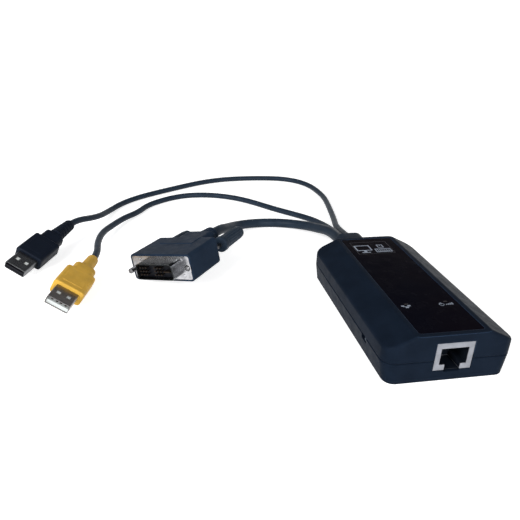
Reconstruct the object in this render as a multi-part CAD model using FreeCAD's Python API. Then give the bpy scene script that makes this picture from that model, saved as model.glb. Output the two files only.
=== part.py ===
import FreeCAD, Part
import math
import os

# KVM server adapter ("dongle"): a flat two-shell housing with a network
# socket at its front and three attached cords at its rear, one to a DVI
# plug and two to USB plugs.  Millimetres.  +Z up, +X right, +Y from the
# socket towards the cords.  The origin is under the middle of the housing,
# on the surface that it lies on.

V = FreeCAD.Vector
os.makedirs("parts", exist_ok=True)

# ---------------------------------------------------------------- housing
HOUSING_WIDTH = 55.8
HOUSING_LENGTH = 95.6
HOUSING_HEIGHT = 22.0
SEAM_HEIGHT = 9.8             # where the two shells meet
SHOULDER_HEIGHT = 16.2        # top of the upright side walls
PLATEAU_WIDTH = 32.6          # flat middle of the top
BASE_INSET = 1.6              # draft of the lower side walls
CORNER_RADIUS = 5.5           # upright corners, seen from above
WALL = 2.0
SEAM_GAP = 0.12
SEAM_BEVEL = 0.35             # the fine groove round the seam
BASE_EDGE_RADIUS = 0.6
SHOULDER_EDGE_RADIUS = 1.6
LIP_HEIGHT = 1.2
LIP_THICKNESS = 0.8
FIT = 0.15                    # clearance between fitted plastic pieces

# ---------------------------------------------------------------- label
LABEL_WIDTH = 28.0
LABEL_LENGTH = 90.6
LABEL_THICKNESS = 0.6
LABEL_CORNER = 1.2
LABEL_RECESS = 0.05           # how far the label lies below the top
LABEL_FIT = 0.1

# ---------------------------------------------------------------- board
BOARD_SIDE_ROOM = 2.4         # from the board to the inside of the side walls
BOARD_FRONT_ROOM = 0.6
BOARD_REAR_ROOM = 6.4
BOARD_THICKNESS = 1.6
BOARD_TOP = 5.3
BOARD_HOLE_ROOM = 0.3         # radial room round a cover screw in the board
POST_FROM_SIDE = 7.7          # screw posts, from the housing's outside
POST_FROM_END = 10.5
POST_DIAMETER = 6.0
SCREW_DIAMETER = 2.4
SCREW_LENGTH = 12.0
SCREW_HEAD_DIAMETER = 4.4
SCREW_HEAD_HEIGHT = 1.3
HEAD_RECESS = 0.3
BORE_FIT = 0.06               # radial room round a screw in its post

# ---------------------------------------------------------------- socket
JACK_X = 1.3
JACK_WIDTH = 16.2
JACK_ROOF_ROOM = 1.9          # from the socket to the inside of the top
JACK_DEPTH = 20.5
JACK_SET_BACK = 0.15
SHIELD = 0.3
MOUTH_WIDTH = 11.8
MOUTH_HEIGHT = 7.7
MOUTH_TOP_MARGIN = 2.5
MOUTH_DEPTH = 13.0
LATCH_WIDTH = 6.8
LATCH_DEPTH = 9.0
CONTACT_COUNT = 8
CONTACT_PITCH = 1.02
CONTACT_WIDTH = 0.45
CONTACT_THICKNESS = 0.35
CONTACT_START = 2.2           # from the socket's front to the wire's front
CONTACT_BEND = 3.4            # to where it leaves the roof
CONTACT_TIP = 11.0            # to where it runs level again
CONTACT_BURIED = 1.5          # how far it runs on behind the mouth
CONTACT_DROP = 3.2            # how far it comes down from the roof
CONTACT_FIT = 0.05

# ---------------------------------------------------------------- switch
SWITCH_FROM_FRONT = 21.3
SWITCH_SLOT_LENGTH = 5.0
SWITCH_SLOT_HEIGHT = 2.6
SWITCH_BODY_LENGTH = 8.6
SWITCH_BODY_DEPTH = 3.6
SWITCH_BODY_HEIGHT = 4.2
KNOB_LENGTH = 1.6
KNOB_HEIGHT = 1.4
KNOB_TRAVEL = 2.0
KNOB_FIT = 0.12

# ---------------------------------------------------------------- lamps
LAMP_X = 9.0
LAMP_FROM_SOCKET = 3.1        # behind the socket's back
LIGHT_PIPE_DIAMETER = 2.8
SLEEVE_WALL = 1.2             # round each light pipe, under the top
SLEEVE_LENGTH = 4.0
LAMP_LENGTH = 2.0
LAMP_WIDTH = 1.25
LAMP_HEIGHT = 0.8

# ---------------------------------------------------------------- grommet
GROMMET_X = -1.3
GROMMET_WIDTH = 16.2
GROMMET_MARGIN = 5.0          # housing left above and below it
GROMMET_REACH = 18.7          # how far it stands out behind the housing
GROMMET_CORNER = 4.6
GROMMET_FLANGE = 1.6          # how far the flange overlaps the wall
GROMMET_FLANGE_DEPTH = 2.4
COLLAR_LENGTH = 1.5
COLLAR_WALL = 0.7

# ---------------------------------------------------------------- cords
DVI_CORD_DIAMETER = 6.0
USB_CORD_DIAMETER = 4.0
WIRE_DIAMETER = 0.9
WIRE_RISE = 2.8               # how high the wires arch over their board plugs
WIRE_STRAIGHT = 2.4           # from the grommet to the wires' first bend
WIRE_CROSSING = 3.2           # from there to where they are above their plugs' rows
# where each cord leaves the grommet: x and height from its middle
DVI_EXIT = (-5.6, 0.0)
YELLOW_EXIT = (-0.9, -2.0)
BLACK_EXIT = (3.5, -2.0)

# ---------------------------------------------------------------- USB plugs
USB_SHELL_WIDTH = 12.0
USB_SHELL_HEIGHT = 4.5
USB_SHELL_WALL = 0.3
USB_SHELL_CORNER = 0.7
USB_SHELL_EXPOSED = 11.7
USB_SHELL_BURIED = 5.0
USB_WINDOW_SPACING = 5.3
USB_WINDOW_LENGTH = 2.3
USB_WINDOW_WIDTH = 2.0
USB_WINDOW_FROM_MOUTH = 6.0
USB_TONGUE_THICKNESS = 1.9
USB_TONGUE_SET_BACK = 0.5
USB_BODY_WIDTH = 16.3
USB_BODY_HEIGHT = 8.2
USB_BODY_LENGTH = 18.5
USB_BODY_CORNER = 1.8
USB_NECK_WIDTH = 12.0
USB_NECK_HEIGHT = 7.4
USB_NECK_LENGTH = 8.0
USB_TAIL_DIAMETER = 7.4
USB_TAIL_END_DIAMETER = 6.4
BLACK_TAIL_LENGTH = 17.0
YELLOW_TAIL_LENGTH = 13.0
USB_RIB_COUNT = 5
USB_RIB_DEPTH = 0.45
USB_RIB_WIDTH = 1.0
USB_RIB_START = 2.0
USB_CONTACT_XS = (-3.5, -1.0, 1.0, 3.5)
USB_CONTACT_WIDTH = 1.1
USB_CONTACT_THICKNESS = 0.2

# ---------------------------------------------------------------- DVI plug
HOOD_WIDTH = 39.5
HOOD_HEIGHT = 15.0
HOOD_LENGTH = 27.0
HOOD_CORNER = 2.0
HOOD_NECK_WIDTH = 20.0
HOOD_NECK_HEIGHT = 12.4
HOOD_NECK_LENGTH = 14.0
HOOD_TAIL_DIAMETER = 11.0
HOOD_TAIL_END_DIAMETER = 9.4
HOOD_TAIL_LENGTH = 11.0
TAIL_GROOVE_COUNT = 3
TAIL_GROOVE_START = 3.6
TAIL_GROOVE_PITCH = 2.2
TAIL_GROOVE_WIDTH = 0.8
TAIL_GROOVE_DEPTH = 0.6
FLANGE_WIDTH = 37.6
FLANGE_HEIGHT = 13.0
FLANGE_THICKNESS = 0.8
FLANGE_SET_BACK = 0.2
DVI_SHELL_WIDTH = 24.4
DVI_SHELL_HEIGHT = 8.8
DVI_SHELL_REACH = 6.2
DVI_SHELL_WALL = 0.45
DVI_SHELL_CORNER = 1.9
DVI_CORE_SET_BACK = 3.2
DVI_CORE_DEPTH = 9.0
PIN_PITCH = 1.905
PIN_DIAMETER = 0.9
PIN_REACH = 2.6
BLADE_WIDTH = 3.8
BLADE_THICKNESS = 0.6
THUMBSCREW_SPACING = 33.3
THUMBSCREW_SHANK = 2.8
THUMBSCREW_KNOB = 6.2
THUMBSCREW_KNOB_END = 5.0
THUMBSCREW_RIM = 7.0
THUMBSCREW_RIM_LENGTH = 2.5
THUMBSCREW_KNOB_LENGTH = 23.0
THUMBSCREW_TRAVEL = 5.6
THUMBSCREW_TIP = 0.5          # how far a drawn-back screw stands out
KNOB_STANDOFF = 6.2           # free shank of a drawn-back screw
CLIP_DIAMETER = 5.4
CLIP_THICKNESS = 0.8
CLIP_GROOVE = 2.0             # diameter of the groove that the clip sits in
RUNNING_FIT = 0.05            # radial room of a turning piece
LOOSE_FIT = 0.3               # radial room where nothing is guided
END_PLAY = 0.1

# ---------------------------------------------------------------- layout
# Each plug lies on the surface, turned and rolled as its cord leaves it:
# the middle of its front, its heading, its roll about its own length and
# how far its rear is tipped up.
DVI_PLACE = (V(-111.9, 44.9, 11.5), 37.4, 13.2, 0.0)
BLACK_PLACE = (V(-190.4, 64.1, 5.8), 24.7, -26.6, 4.9)
YELLOW_PLACE = (V(-161.2, 19.6, 8.0), 12.8, -29.9, -1.9)


# ---------------------------------------------------------------- helpers
def box(x0, x1, y0, y1, z0, z1):
    return Part.makeBox(x1 - x0, y1 - y0, z1 - z0, V(x0, y0, z0))


def rod(diameter, start, direction, length):
    return Part.makeCylinder(diameter / 2, length, start, direction)


def rounded_outline(width, length, radius, z):
    """A rectangle with round corners, flat at height z, centred on Z."""
    x = width / 2
    y = length / 2
    r = radius
    k = r * (1 - math.sqrt(0.5))
    edges = [
        Part.LineSegment(V(-x + r, -y, z), V(x - r, -y, z)).toShape(),
        Part.Arc(V(x - r, -y, z), V(x - k, -y + k, z), V(x, -y + r, z)).toShape(),
        Part.LineSegment(V(x, -y + r, z), V(x, y - r, z)).toShape(),
        Part.Arc(V(x, y - r, z), V(x - k, y - k, z), V(x - r, y, z)).toShape(),
        Part.LineSegment(V(x - r, y, z), V(-x + r, y, z)).toShape(),
        Part.Arc(V(-x + r, y, z), V(-x + k, y - k, z), V(-x, y - r, z)).toShape(),
        Part.LineSegment(V(-x, y - r, z), V(-x, -y + r, z)).toShape(),
        Part.Arc(V(-x, -y + r, z), V(-x + k, -y + k, z), V(-x + r, -y, z)).toShape(),
    ]
    return Part.Wire(edges)


def slab(width, length, radius, z0, z1):
    face = Part.Face(rounded_outline(width, length, radius, z0))
    return face.extrude(V(0, 0, z1 - z0))


def tapered_slab(low, high):
    """A ruled solid between two (width, length, radius, z) outlines."""
    return Part.makeLoft([rounded_outline(*low), rounded_outline(*high)], True, True)


def bar(width, height, radius, y0, y1):
    """A bar along Y with rounded long edges, centred on the Y axis."""
    flat = slab(width, height, radius, 0, y1 - y0)
    flat.rotate(V(0, 0, 0), V(1, 0, 0), 90)
    flat.translate(V(0, y1, 0))
    return flat


def polygon_prism(points, start, end):
    """Extrudes a closed polygon, its points in the plane through start."""
    corners = [V(*p) + start for p in points]
    face = Part.Face(Part.makePolygon(corners + [corners[0]]))
    return face.extrude(end - start)


def edges_where(shape, test):
    found = []
    for edge in shape.Edges:
        if test(edge):
            found.append(edge)
    return found


def is_along(edge, axis):
    if edge.Curve.TypeId != "Part::GeomLine":
        return False
    return abs(edge.tangentAt(edge.FirstParameter).dot(axis)) > 0.999


def at_mid(edge):
    middle = (edge.FirstParameter + edge.LastParameter) / 2
    return edge.valueAt(middle)


def save(name, shape):
    if not shape.isValid():
        raise ValueError(name + " is not a valid solid")
    shape.exportStep("parts/" + name + ".step")


def plug_placement(place):
    position, heading, roll, tip = place
    turn = FreeCAD.Rotation(V(0, 0, 1), -heading)
    turn = turn * FreeCAD.Rotation(V(1, 0, 0), tip)
    turn = turn * FreeCAD.Rotation(V(0, 1, 0), -roll)
    return FreeCAD.Placement(position, turn)


def placed(shape, place):
    """Moves a plug's piece from its own frame to where the plug lies."""
    moved = shape.copy()
    moved.Placement = plug_placement(place).multiply(moved.Placement)
    return moved


def along_plug(place, distance):
    """A point on a plug's own centre line, behind the middle of its front."""
    return plug_placement(place).multVec(V(0, distance, 0))


# ---------------------------------------------------------------- shells
HALF_LENGTH = HOUSING_LENGTH / 2
BOARD_BOTTOM = BOARD_TOP - BOARD_THICKNESS
INNER_WIDTH = HOUSING_WIDTH - 2 * WALL
INNER_LENGTH = HOUSING_LENGTH - 2 * WALL
INNER_CORNER = CORNER_RADIUS - WALL
REBATE_WIDTH = INNER_WIDTH + 2 * LIP_THICKNESS + 2 * FIT
REBATE_LENGTH = INNER_LENGTH + 2 * LIP_THICKNESS + 2 * FIT
JACK_BOTTOM = BOARD_TOP
JACK_TOP = HOUSING_HEIGHT - WALL - JACK_ROOF_ROOM
JACK_FRONT = -HALF_LENGTH + JACK_SET_BACK
JACK_BACK = JACK_FRONT + JACK_DEPTH
LAMP_Y = JACK_BACK + LAMP_FROM_SOCKET
SWITCH_Y = -HALF_LENGTH + SWITCH_FROM_FRONT
POST_X = HOUSING_WIDTH / 2 - POST_FROM_SIDE
POST_Y = HALF_LENGTH - POST_FROM_END
POSTS = [(sx * POST_X, sy * POST_Y) for sx in (-1, 1) for sy in (-1, 1)]
GROMMET_MIDDLE = HOUSING_HEIGHT / 2
GROMMET_HEIGHT = HOUSING_HEIGHT - 2 * GROMMET_MARGIN
GROMMET_BACK = HALF_LENGTH - WALL - GROMMET_FLANGE_DEPTH


def jack_opening():
    return box(
        JACK_X - JACK_WIDTH / 2 - FIT, JACK_X + JACK_WIDTH / 2 + FIT,
        -HALF_LENGTH - 1, -HALF_LENGTH + WALL + 1,
        JACK_BOTTOM - FIT, JACK_TOP + FIT,
    )


def latch_relief():
    """The notch below the socket that the plug's latch passes through."""
    return box(
        JACK_X - LATCH_WIDTH / 2, JACK_X + LATCH_WIDTH / 2,
        -HALF_LENGTH - 1, -HALF_LENGTH + WALL + 1,
        JACK_BOTTOM - 0.9, JACK_BOTTOM,
    )


def grommet_opening():
    opening = bar(
        GROMMET_WIDTH + 2 * FIT, GROMMET_HEIGHT + 2 * FIT, GROMMET_CORNER,
        HALF_LENGTH - WALL - 1, HALF_LENGTH + 1,
    )
    opening.translate(V(GROMMET_X, 0, GROMMET_MIDDLE))
    return opening


def switch_slot():
    return box(
        -HOUSING_WIDTH / 2 - 1, -INNER_WIDTH / 2 + 1.5,
        SWITCH_Y - SWITCH_SLOT_LENGTH / 2, SWITCH_Y + SWITCH_SLOT_LENGTH / 2,
        SEAM_HEIGHT - SWITCH_SLOT_HEIGHT, SEAM_HEIGHT + LIP_HEIGHT + 1,
    )


def bottom_cover():
    top = SEAM_HEIGHT - SEAM_GAP / 2
    base_width = HOUSING_WIDTH - 2 * BASE_INSET
    below_bevel = top - SEAM_BEVEL
    outer = tapered_slab(
        (base_width, HOUSING_LENGTH, CORNER_RADIUS - BASE_INSET / 2, 0),
        (HOUSING_WIDTH, HOUSING_LENGTH, CORNER_RADIUS, below_bevel),
    )
    outer = outer.makeFillet(
        BASE_EDGE_RADIUS, edges_where(outer, lambda e: at_mid(e).z < 0.01)
    )
    bevel = tapered_slab(
        (HOUSING_WIDTH, HOUSING_LENGTH, CORNER_RADIUS, below_bevel),
        (HOUSING_WIDTH - 2 * SEAM_BEVEL, HOUSING_LENGTH - 2 * SEAM_BEVEL,
         CORNER_RADIUS - SEAM_BEVEL, top),
    )
    outer = outer.fuse(bevel)
    hollow = tapered_slab(
        (base_width - 2 * WALL, INNER_LENGTH, INNER_CORNER - BASE_INSET / 2, WALL),
        (INNER_WIDTH, INNER_LENGTH, INNER_CORNER, top),
    )
    cover = outer.cut(hollow)
    lip = slab(
        INNER_WIDTH + 2 * LIP_THICKNESS, INNER_LENGTH + 2 * LIP_THICKNESS,
        INNER_CORNER + LIP_THICKNESS, top - 0.5, SEAM_HEIGHT + LIP_HEIGHT,
    )
    lip = lip.cut(
        slab(INNER_WIDTH, INNER_LENGTH, INNER_CORNER, top - 1, SEAM_HEIGHT + LIP_HEIGHT + 1)
    )
    cover = cover.fuse(lip)
    for x, y in POSTS:
        cover = cover.fuse(rod(POST_DIAMETER, V(x, y, WALL - 0.5), V(0, 0, 1), BOARD_BOTTOM - WALL + 0.5))
    for x, y in POSTS:
        cover = cover.cut(rod(SCREW_DIAMETER + 2 * BORE_FIT, V(x, y, -1), V(0, 0, 1), 10))
        recess = rod(SCREW_HEAD_DIAMETER + 0.3, V(x, y, -1), V(0, 0, 1),
                     1 + HEAD_RECESS + SCREW_HEAD_HEIGHT)
        cover = cover.cut(recess)
    for cutter in (jack_opening(), latch_relief(), grommet_opening(), switch_slot()):
        cover = cover.cut(cutter)
    return cover.removeSplitter()


def top_profile(width, base, shoulder, plateau, top):
    """The housing's cross-section above the seam, as (x, z) points."""
    return [
        (-width / 2, base), (width / 2, base), (width / 2, shoulder),
        (plateau / 2, top), (-plateau / 2, top), (-width / 2, shoulder),
    ]


def roof(width, length, corner, base, shoulder, plateau, top):
    """A block with upright sides, sloped shoulders and a flat middle."""
    block = slab(width, length, corner, base, top + 1)
    profile = top_profile(width, base, shoulder, plateau, top)
    points = [(x, 0, z) for x, z in profile]
    prism = polygon_prism(points, V(0, -length, 0), V(0, length, 0))
    return block.common(prism)


def top_cover():
    bottom = SEAM_HEIGHT + SEAM_GAP / 2
    above_bevel = bottom + SEAM_BEVEL
    outer = roof(HOUSING_WIDTH, HOUSING_LENGTH, CORNER_RADIUS, above_bevel,
                 SHOULDER_HEIGHT, PLATEAU_WIDTH, HOUSING_HEIGHT)
    long_edges = edges_where(outer, lambda e: is_along(e, V(0, 1, 0)) and at_mid(e).z > SHOULDER_HEIGHT - 1)
    outer = outer.makeFillet(SHOULDER_EDGE_RADIUS, long_edges)
    bevel = tapered_slab(
        (HOUSING_WIDTH - 2 * SEAM_BEVEL, HOUSING_LENGTH - 2 * SEAM_BEVEL,
         CORNER_RADIUS - SEAM_BEVEL, bottom),
        (HOUSING_WIDTH, HOUSING_LENGTH, CORNER_RADIUS, above_bevel),
    )
    outer = outer.fuse(bevel)
    slope = (HOUSING_HEIGHT - SHOULDER_HEIGHT) / ((HOUSING_WIDTH - PLATEAU_WIDTH) / 2)
    tilt = math.atan(slope)
    drop = WALL / math.cos(tilt) - WALL * slope
    inner_top = HOUSING_HEIGHT - WALL
    inner_shoulder = SHOULDER_HEIGHT - drop
    inner_plateau = INNER_WIDTH - 2 * (inner_top - inner_shoulder) / slope
    hollow = roof(INNER_WIDTH, INNER_LENGTH, INNER_CORNER, bottom - 1,
                  inner_shoulder, inner_plateau, inner_top)
    cover = outer.cut(hollow)
    rebate = slab(REBATE_WIDTH, REBATE_LENGTH, INNER_CORNER + LIP_THICKNESS + FIT,
                  bottom - 1, SEAM_HEIGHT + LIP_HEIGHT + FIT)
    cover = cover.cut(rebate)
    posts = []
    for x, y in POSTS:
        posts.append(rod(POST_DIAMETER, V(x, y, BOARD_TOP), V(0, 0, 1), HOUSING_HEIGHT - BOARD_TOP))
    inside = roof(INNER_WIDTH + 1, INNER_LENGTH + 1, INNER_CORNER, BOARD_TOP,
                  inner_shoulder + 0.5, inner_plateau, inner_top + 0.5)
    for post in posts:
        cover = cover.fuse(post.common(inside))
    for x, y in POSTS:
        bore = rod(SCREW_DIAMETER + 2 * BORE_FIT, V(x, y, BOARD_TOP - 1), V(0, 0, 1),
                   SCREW_LENGTH - BOARD_TOP + 3)
        cover = cover.cut(bore)
    for sx in (-1, 1):
        sleeve = rod(LIGHT_PIPE_DIAMETER + 2 * SLEEVE_WALL, V(sx * LAMP_X, LAMP_Y, inner_top - SLEEVE_LENGTH),
                     V(0, 0, 1), SLEEVE_LENGTH + 0.4)
        cover = cover.fuse(sleeve)
    for sx in (-1, 1):
        hole = rod(LIGHT_PIPE_DIAMETER + 2 * FIT, V(sx * LAMP_X, LAMP_Y, BOARD_TOP), V(0, 0, 1), 30)
        cover = cover.cut(hole)
    pocket = slab(LABEL_WIDTH + 2 * LABEL_FIT, LABEL_LENGTH + 2 * LABEL_FIT, LABEL_CORNER + LABEL_FIT,
                  HOUSING_HEIGHT - LABEL_THICKNESS, HOUSING_HEIGHT + 1)
    cover = cover.cut(pocket)
    for cutter in (jack_opening(), grommet_opening()):
        cover = cover.cut(cutter)
    return cover.removeSplitter()


def top_label():
    return slab(LABEL_WIDTH, LABEL_LENGTH, LABEL_CORNER,
                HOUSING_HEIGHT - LABEL_THICKNESS, HOUSING_HEIGHT - LABEL_RECESS)


def cover_screws():
    screws = []
    for x, y in POSTS:
        head = rod(SCREW_HEAD_DIAMETER, V(x, y, HEAD_RECESS), V(0, 0, 1), SCREW_HEAD_HEIGHT)
        shank = rod(SCREW_DIAMETER, V(x, y, HEAD_RECESS), V(0, 0, 1), SCREW_LENGTH)
        socket = box(x - 1.1, x + 1.1, y - 0.25, y + 0.25, 0, HEAD_RECESS + 0.7)
        cross = box(x - 0.25, x + 0.25, y - 1.1, y + 1.1, 0, HEAD_RECESS + 0.7)
        screws.append(head.fuse(shank).cut(socket).cut(cross))
    return Part.makeCompound(screws)


save("bottom_cover", bottom_cover())
save("top_cover", top_cover())
save("top_label", top_label())
save("cover_screws", cover_screws())


# ---------------------------------------------------------------- board
BOARD_FRONT = -INNER_LENGTH / 2 + BOARD_FRONT_ROOM
BOARD_REAR = INNER_LENGTH / 2 - BOARD_REAR_ROOM
BOARD_EDGE = INNER_WIDTH / 2 - BOARD_SIDE_ROOM
# the parts on the board follow each other from the socket to the rear
TRANSFORMER_Y = LAMP_Y + 9.0
CHIP_Y = TRANSFORMER_Y + 19.0
CHIP_SIZE = 14.0
ROW_STEP = 10.0               # from the main chip to the rows beside it
MEMORY_Y = CHIP_Y + 5.5
HEADER_Y = GROMMET_BACK - 9.1
POWER_Y = HEADER_Y - 6.2
TRANSFORMER_WIDTH = 16.0
TRANSFORMER_LENGTH = 11.0
TRANSFORMER_HEIGHT = 5.6
TRANSFORMER_PITCH = 1.9
CAPACITOR_HEIGHT = 5.7


def main_board():
    board = box(-BOARD_EDGE, BOARD_EDGE, BOARD_FRONT, BOARD_REAR, BOARD_BOTTOM, BOARD_TOP)
    board = board.makeFillet(
        1.5, edges_where(board, lambda e: is_along(e, V(0, 0, 1)))
    )
    for x, y in POSTS:
        board = board.cut(rod(SCREW_DIAMETER + 2 * BOARD_HOLE_ROOM, V(x, y, 0), V(0, 0, 1), BOARD_TOP + 1))
    return board


def on_board(x, y, width, length, height, lift=0.0):
    """A block standing on the board, centred at x, y."""
    return box(x - width / 2, x + width / 2, y - length / 2, y + length / 2,
               BOARD_TOP + lift, BOARD_TOP + lift + height)


def leaded_chip(x, y, size, height, leads, pitch):
    """A square chip package with gull-wing leads on its four sides."""
    lead_width = pitch * 0.45
    lead_reach = 1.0
    body = on_board(x, y, size, size, height - 0.1, 0.1)
    top_edges = edges_where(body, lambda e: at_mid(e).z > BOARD_TOP + height - 0.01)
    chip = body.makeChamfer(0.15, top_edges)
    for turn in range(4):
        for i in range(leads):
            offset = (i - (leads - 1) / 2) * pitch
            foot = box(offset - lead_width / 2, offset + lead_width / 2,
                       -size / 2 - lead_reach, -size / 2 + 0.2, BOARD_TOP, BOARD_TOP + 0.25)
            foot.rotate(V(0, 0, 0), V(0, 0, 1), 90 * turn)
            foot.translate(V(x, y, 0))
            chip = chip.fuse(foot)
    return chip


def lan_transformer():
    body = on_board(JACK_X, TRANSFORMER_Y, TRANSFORMER_WIDTH, TRANSFORMER_LENGTH, TRANSFORMER_HEIGHT)
    top = BOARD_TOP + TRANSFORMER_HEIGHT
    body = body.makeChamfer(0.6, edges_where(body, lambda e: at_mid(e).z > top - 0.1))
    for i in range(8):
        for side in (-1, 1):
            foot_x = JACK_X + (i - 3.5) * TRANSFORMER_PITCH
            foot_y = TRANSFORMER_Y + side * (TRANSFORMER_LENGTH / 2 + 0.6)
            body = body.fuse(on_board(foot_x, foot_y, 0.6, 1.4, 0.3))
    return body


def memory_chips():
    return Part.makeCompound([on_board(x, MEMORY_Y, 8.0, 11.0, 1.1) for x in (-13.5, 12.5)])


def crystals():
    cans = []
    for x, y in ((-13.5, CHIP_Y - 7.0), (12.0, CHIP_Y - 9.5)):
        can = on_board(x, y, 5.0, 3.2, 1.2)
        can = can.makeFillet(0.6, edges_where(can, lambda e: is_along(e, V(0, 0, 1))))
        cans.append(can)
    return Part.makeCompound(cans)


def capacitors():
    cans = []
    top = BOARD_TOP + CAPACITOR_HEIGHT
    for x, y in ((-17.0, POWER_Y), (-10.5, POWER_Y), (17.0, POWER_Y), (-12.0, TRANSFORMER_Y - 3.0)):
        base = on_board(x, y, 5.3, 5.3, 0.8)
        can = rod(5.0, V(x, y, BOARD_TOP + 0.5), V(0, 0, 1), CAPACITOR_HEIGHT - 0.5)
        can = can.makeFillet(0.4, edges_where(can, lambda e: at_mid(e).z > top - 0.1))
        cans.append(base.fuse(can))
    return Part.makeCompound(cans)


def power_coils():
    coils = []
    for x in (2.1, 9.5):
        coil = on_board(x, POWER_Y, 5.5, 5.5, 2.6)
        coils.append(coil.makeFillet(1.2, edges_where(coil, lambda e: is_along(e, V(0, 0, 1)))))
    return Part.makeCompound(coils)


def regulator():
    x = -4.3
    body = on_board(x, POWER_Y, 6.5, 3.5, 1.6)
    tab = on_board(x, POWER_Y + 2.2, 3.0, 1.6, 0.4)
    shape = body.fuse(tab)
    for i in range(3):
        shape = shape.fuse(on_board(x + (i - 1) * 2.3, POWER_Y - 2.2, 0.8, 1.8, 0.3))
    return shape


def small_parts():
    """The chip resistors and capacitors round the main chip."""
    rows = []
    for i in range(6):
        for side in (-1, 1):
            rows.append(on_board(-6.5 + i * 2.6, CHIP_Y + side * ROW_STEP, 0.8, 1.6, 0.6))
    for i in range(5):
        rows.append(on_board(17.8, TRANSFORMER_Y + 1.0 + i * 3.1, 1.6, 0.8, 0.6))
    return Part.makeCompound(rows)


HEADER_LENGTH = 4.6
HEADER_HEIGHT = 4.6
HEADER_WALL = 0.6
HEADER_FLOOR = 1.0
WIRE_MARGIN = 1.0             # from the outer wire to the board plug's end
# centre x and width of the DVI, yellow USB and black USB headers
HEADERS = ((-7.0, 13.0), (3.6, 6.6), (11.0, 6.6))


def wire_headers():
    shapes = []
    for x, width in HEADERS:
        outer = on_board(x, HEADER_Y, width, HEADER_LENGTH, HEADER_HEIGHT)
        inner = on_board(x, HEADER_Y, width - 2 * HEADER_WALL, HEADER_LENGTH - 2 * HEADER_WALL,
                         HEADER_HEIGHT, HEADER_FLOOR)
        shapes.append(outer.cut(inner))
    return Part.makeCompound(shapes)


def wire_plugs():
    shapes = []
    for x, width in HEADERS:
        shapes.append(on_board(x, HEADER_Y, width - 2 * HEADER_WALL - 2 * FIT,
                               HEADER_LENGTH - 2 * HEADER_WALL - 2 * FIT, HEADER_HEIGHT, HEADER_FLOOR))
    return Part.makeCompound(shapes)


WIRE_PLUG_TOP = BOARD_TOP + HEADER_FLOOR + HEADER_HEIGHT
LAMP_TOP = BOARD_TOP + LAMP_HEIGHT


def lamp(side):
    base = on_board(side * LAMP_X, LAMP_Y, LAMP_WIDTH, LAMP_LENGTH, LAMP_HEIGHT * 0.5)
    lens = on_board(side * LAMP_X, LAMP_Y, LAMP_WIDTH, LAMP_LENGTH * 0.7, LAMP_HEIGHT)
    return base.fuse(lens)


def light_pipes():
    top = HOUSING_HEIGHT - LABEL_THICKNESS
    pipes = []
    for side in (-1, 1):
        start = V(side * LAMP_X, LAMP_Y, LAMP_TOP + 0.2)
        pipes.append(rod(LIGHT_PIPE_DIAMETER, start, V(0, 0, 1), top - start.z))
    return Part.makeCompound(pipes)


save("main_board", main_board())
save("main_chip", leaded_chip(0.0, CHIP_Y, CHIP_SIZE, 1.5, 20, 0.6))
save("lan_transformer", lan_transformer())
save("memory_chips", memory_chips())
save("crystals", crystals())
save("capacitors", capacitors())
save("power_coils", power_coils())
save("regulator", regulator())
save("small_parts", small_parts())
save("wire_headers", wire_headers())
save("wire_plugs", wire_plugs())
save("link_lamp", lamp(-1))
save("power_lamp", lamp(1))
save("light_pipes", light_pipes())


# ---------------------------------------------------------------- socket
MOUTH_TOP = JACK_TOP - MOUTH_TOP_MARGIN
MOUTH_BOTTOM = MOUTH_TOP - MOUTH_HEIGHT


def jack_block(inset, front, back):
    return box(JACK_X - JACK_WIDTH / 2 + inset, JACK_X + JACK_WIDTH / 2 - inset,
               JACK_FRONT + front, JACK_FRONT + back, JACK_BOTTOM + inset, JACK_TOP - inset)


def jack_mouth(front, back):
    mouth = box(JACK_X - MOUTH_WIDTH / 2, JACK_X + MOUTH_WIDTH / 2,
                JACK_FRONT + front, JACK_FRONT + back, MOUTH_BOTTOM, MOUTH_TOP)
    latch = box(JACK_X - LATCH_WIDTH / 2, JACK_X + LATCH_WIDTH / 2,
                JACK_FRONT + front, JACK_FRONT + LATCH_DEPTH, JACK_BOTTOM - 1, MOUTH_BOTTOM + 1)
    return mouth.fuse(latch)


def socket_contact(x, room=0.0):
    """A spring wire: from the roof of the mouth down and back."""
    half = CONTACT_WIDTH / 2 + room
    thick = CONTACT_THICKNESS + room
    front = JACK_FRONT + CONTACT_START
    bend = JACK_FRONT + CONTACT_BEND
    tip = JACK_FRONT + CONTACT_TIP
    back = JACK_FRONT + MOUTH_DEPTH + CONTACT_BURIED
    roof_level = MOUTH_TOP - 0.2
    low = MOUTH_TOP - CONTACT_DROP
    points = [
        (0, front, roof_level - room), (0, bend, roof_level - room),
        (0, tip, low - room), (0, back, low - room),
        (0, back, low + thick), (0, tip - 0.2, low + thick),
        (0, bend, roof_level + thick), (0, front, roof_level + thick),
    ]
    return polygon_prism(points, V(x - half, 0, 0), V(x + half, 0, 0))


CONTACT_XS = [JACK_X + (i - (CONTACT_COUNT - 1) / 2) * CONTACT_PITCH for i in range(CONTACT_COUNT)]


def socket_insulator():
    core = jack_block(SHIELD, SHIELD, JACK_DEPTH - SHIELD)
    core = core.cut(jack_mouth(-1, MOUTH_DEPTH))
    for x in CONTACT_XS:
        core = core.cut(socket_contact(x, CONTACT_FIT))
    return core


def socket_shield():
    can = jack_block(0, 0, JACK_DEPTH).cut(jack_block(SHIELD, SHIELD, JACK_DEPTH - SHIELD))
    return can.cut(jack_mouth(-1, SHIELD + 0.5))


save("socket_insulator", socket_insulator())
save("socket_shield", socket_shield())
save("socket_contacts", Part.makeCompound([socket_contact(x) for x in CONTACT_XS]))


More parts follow.
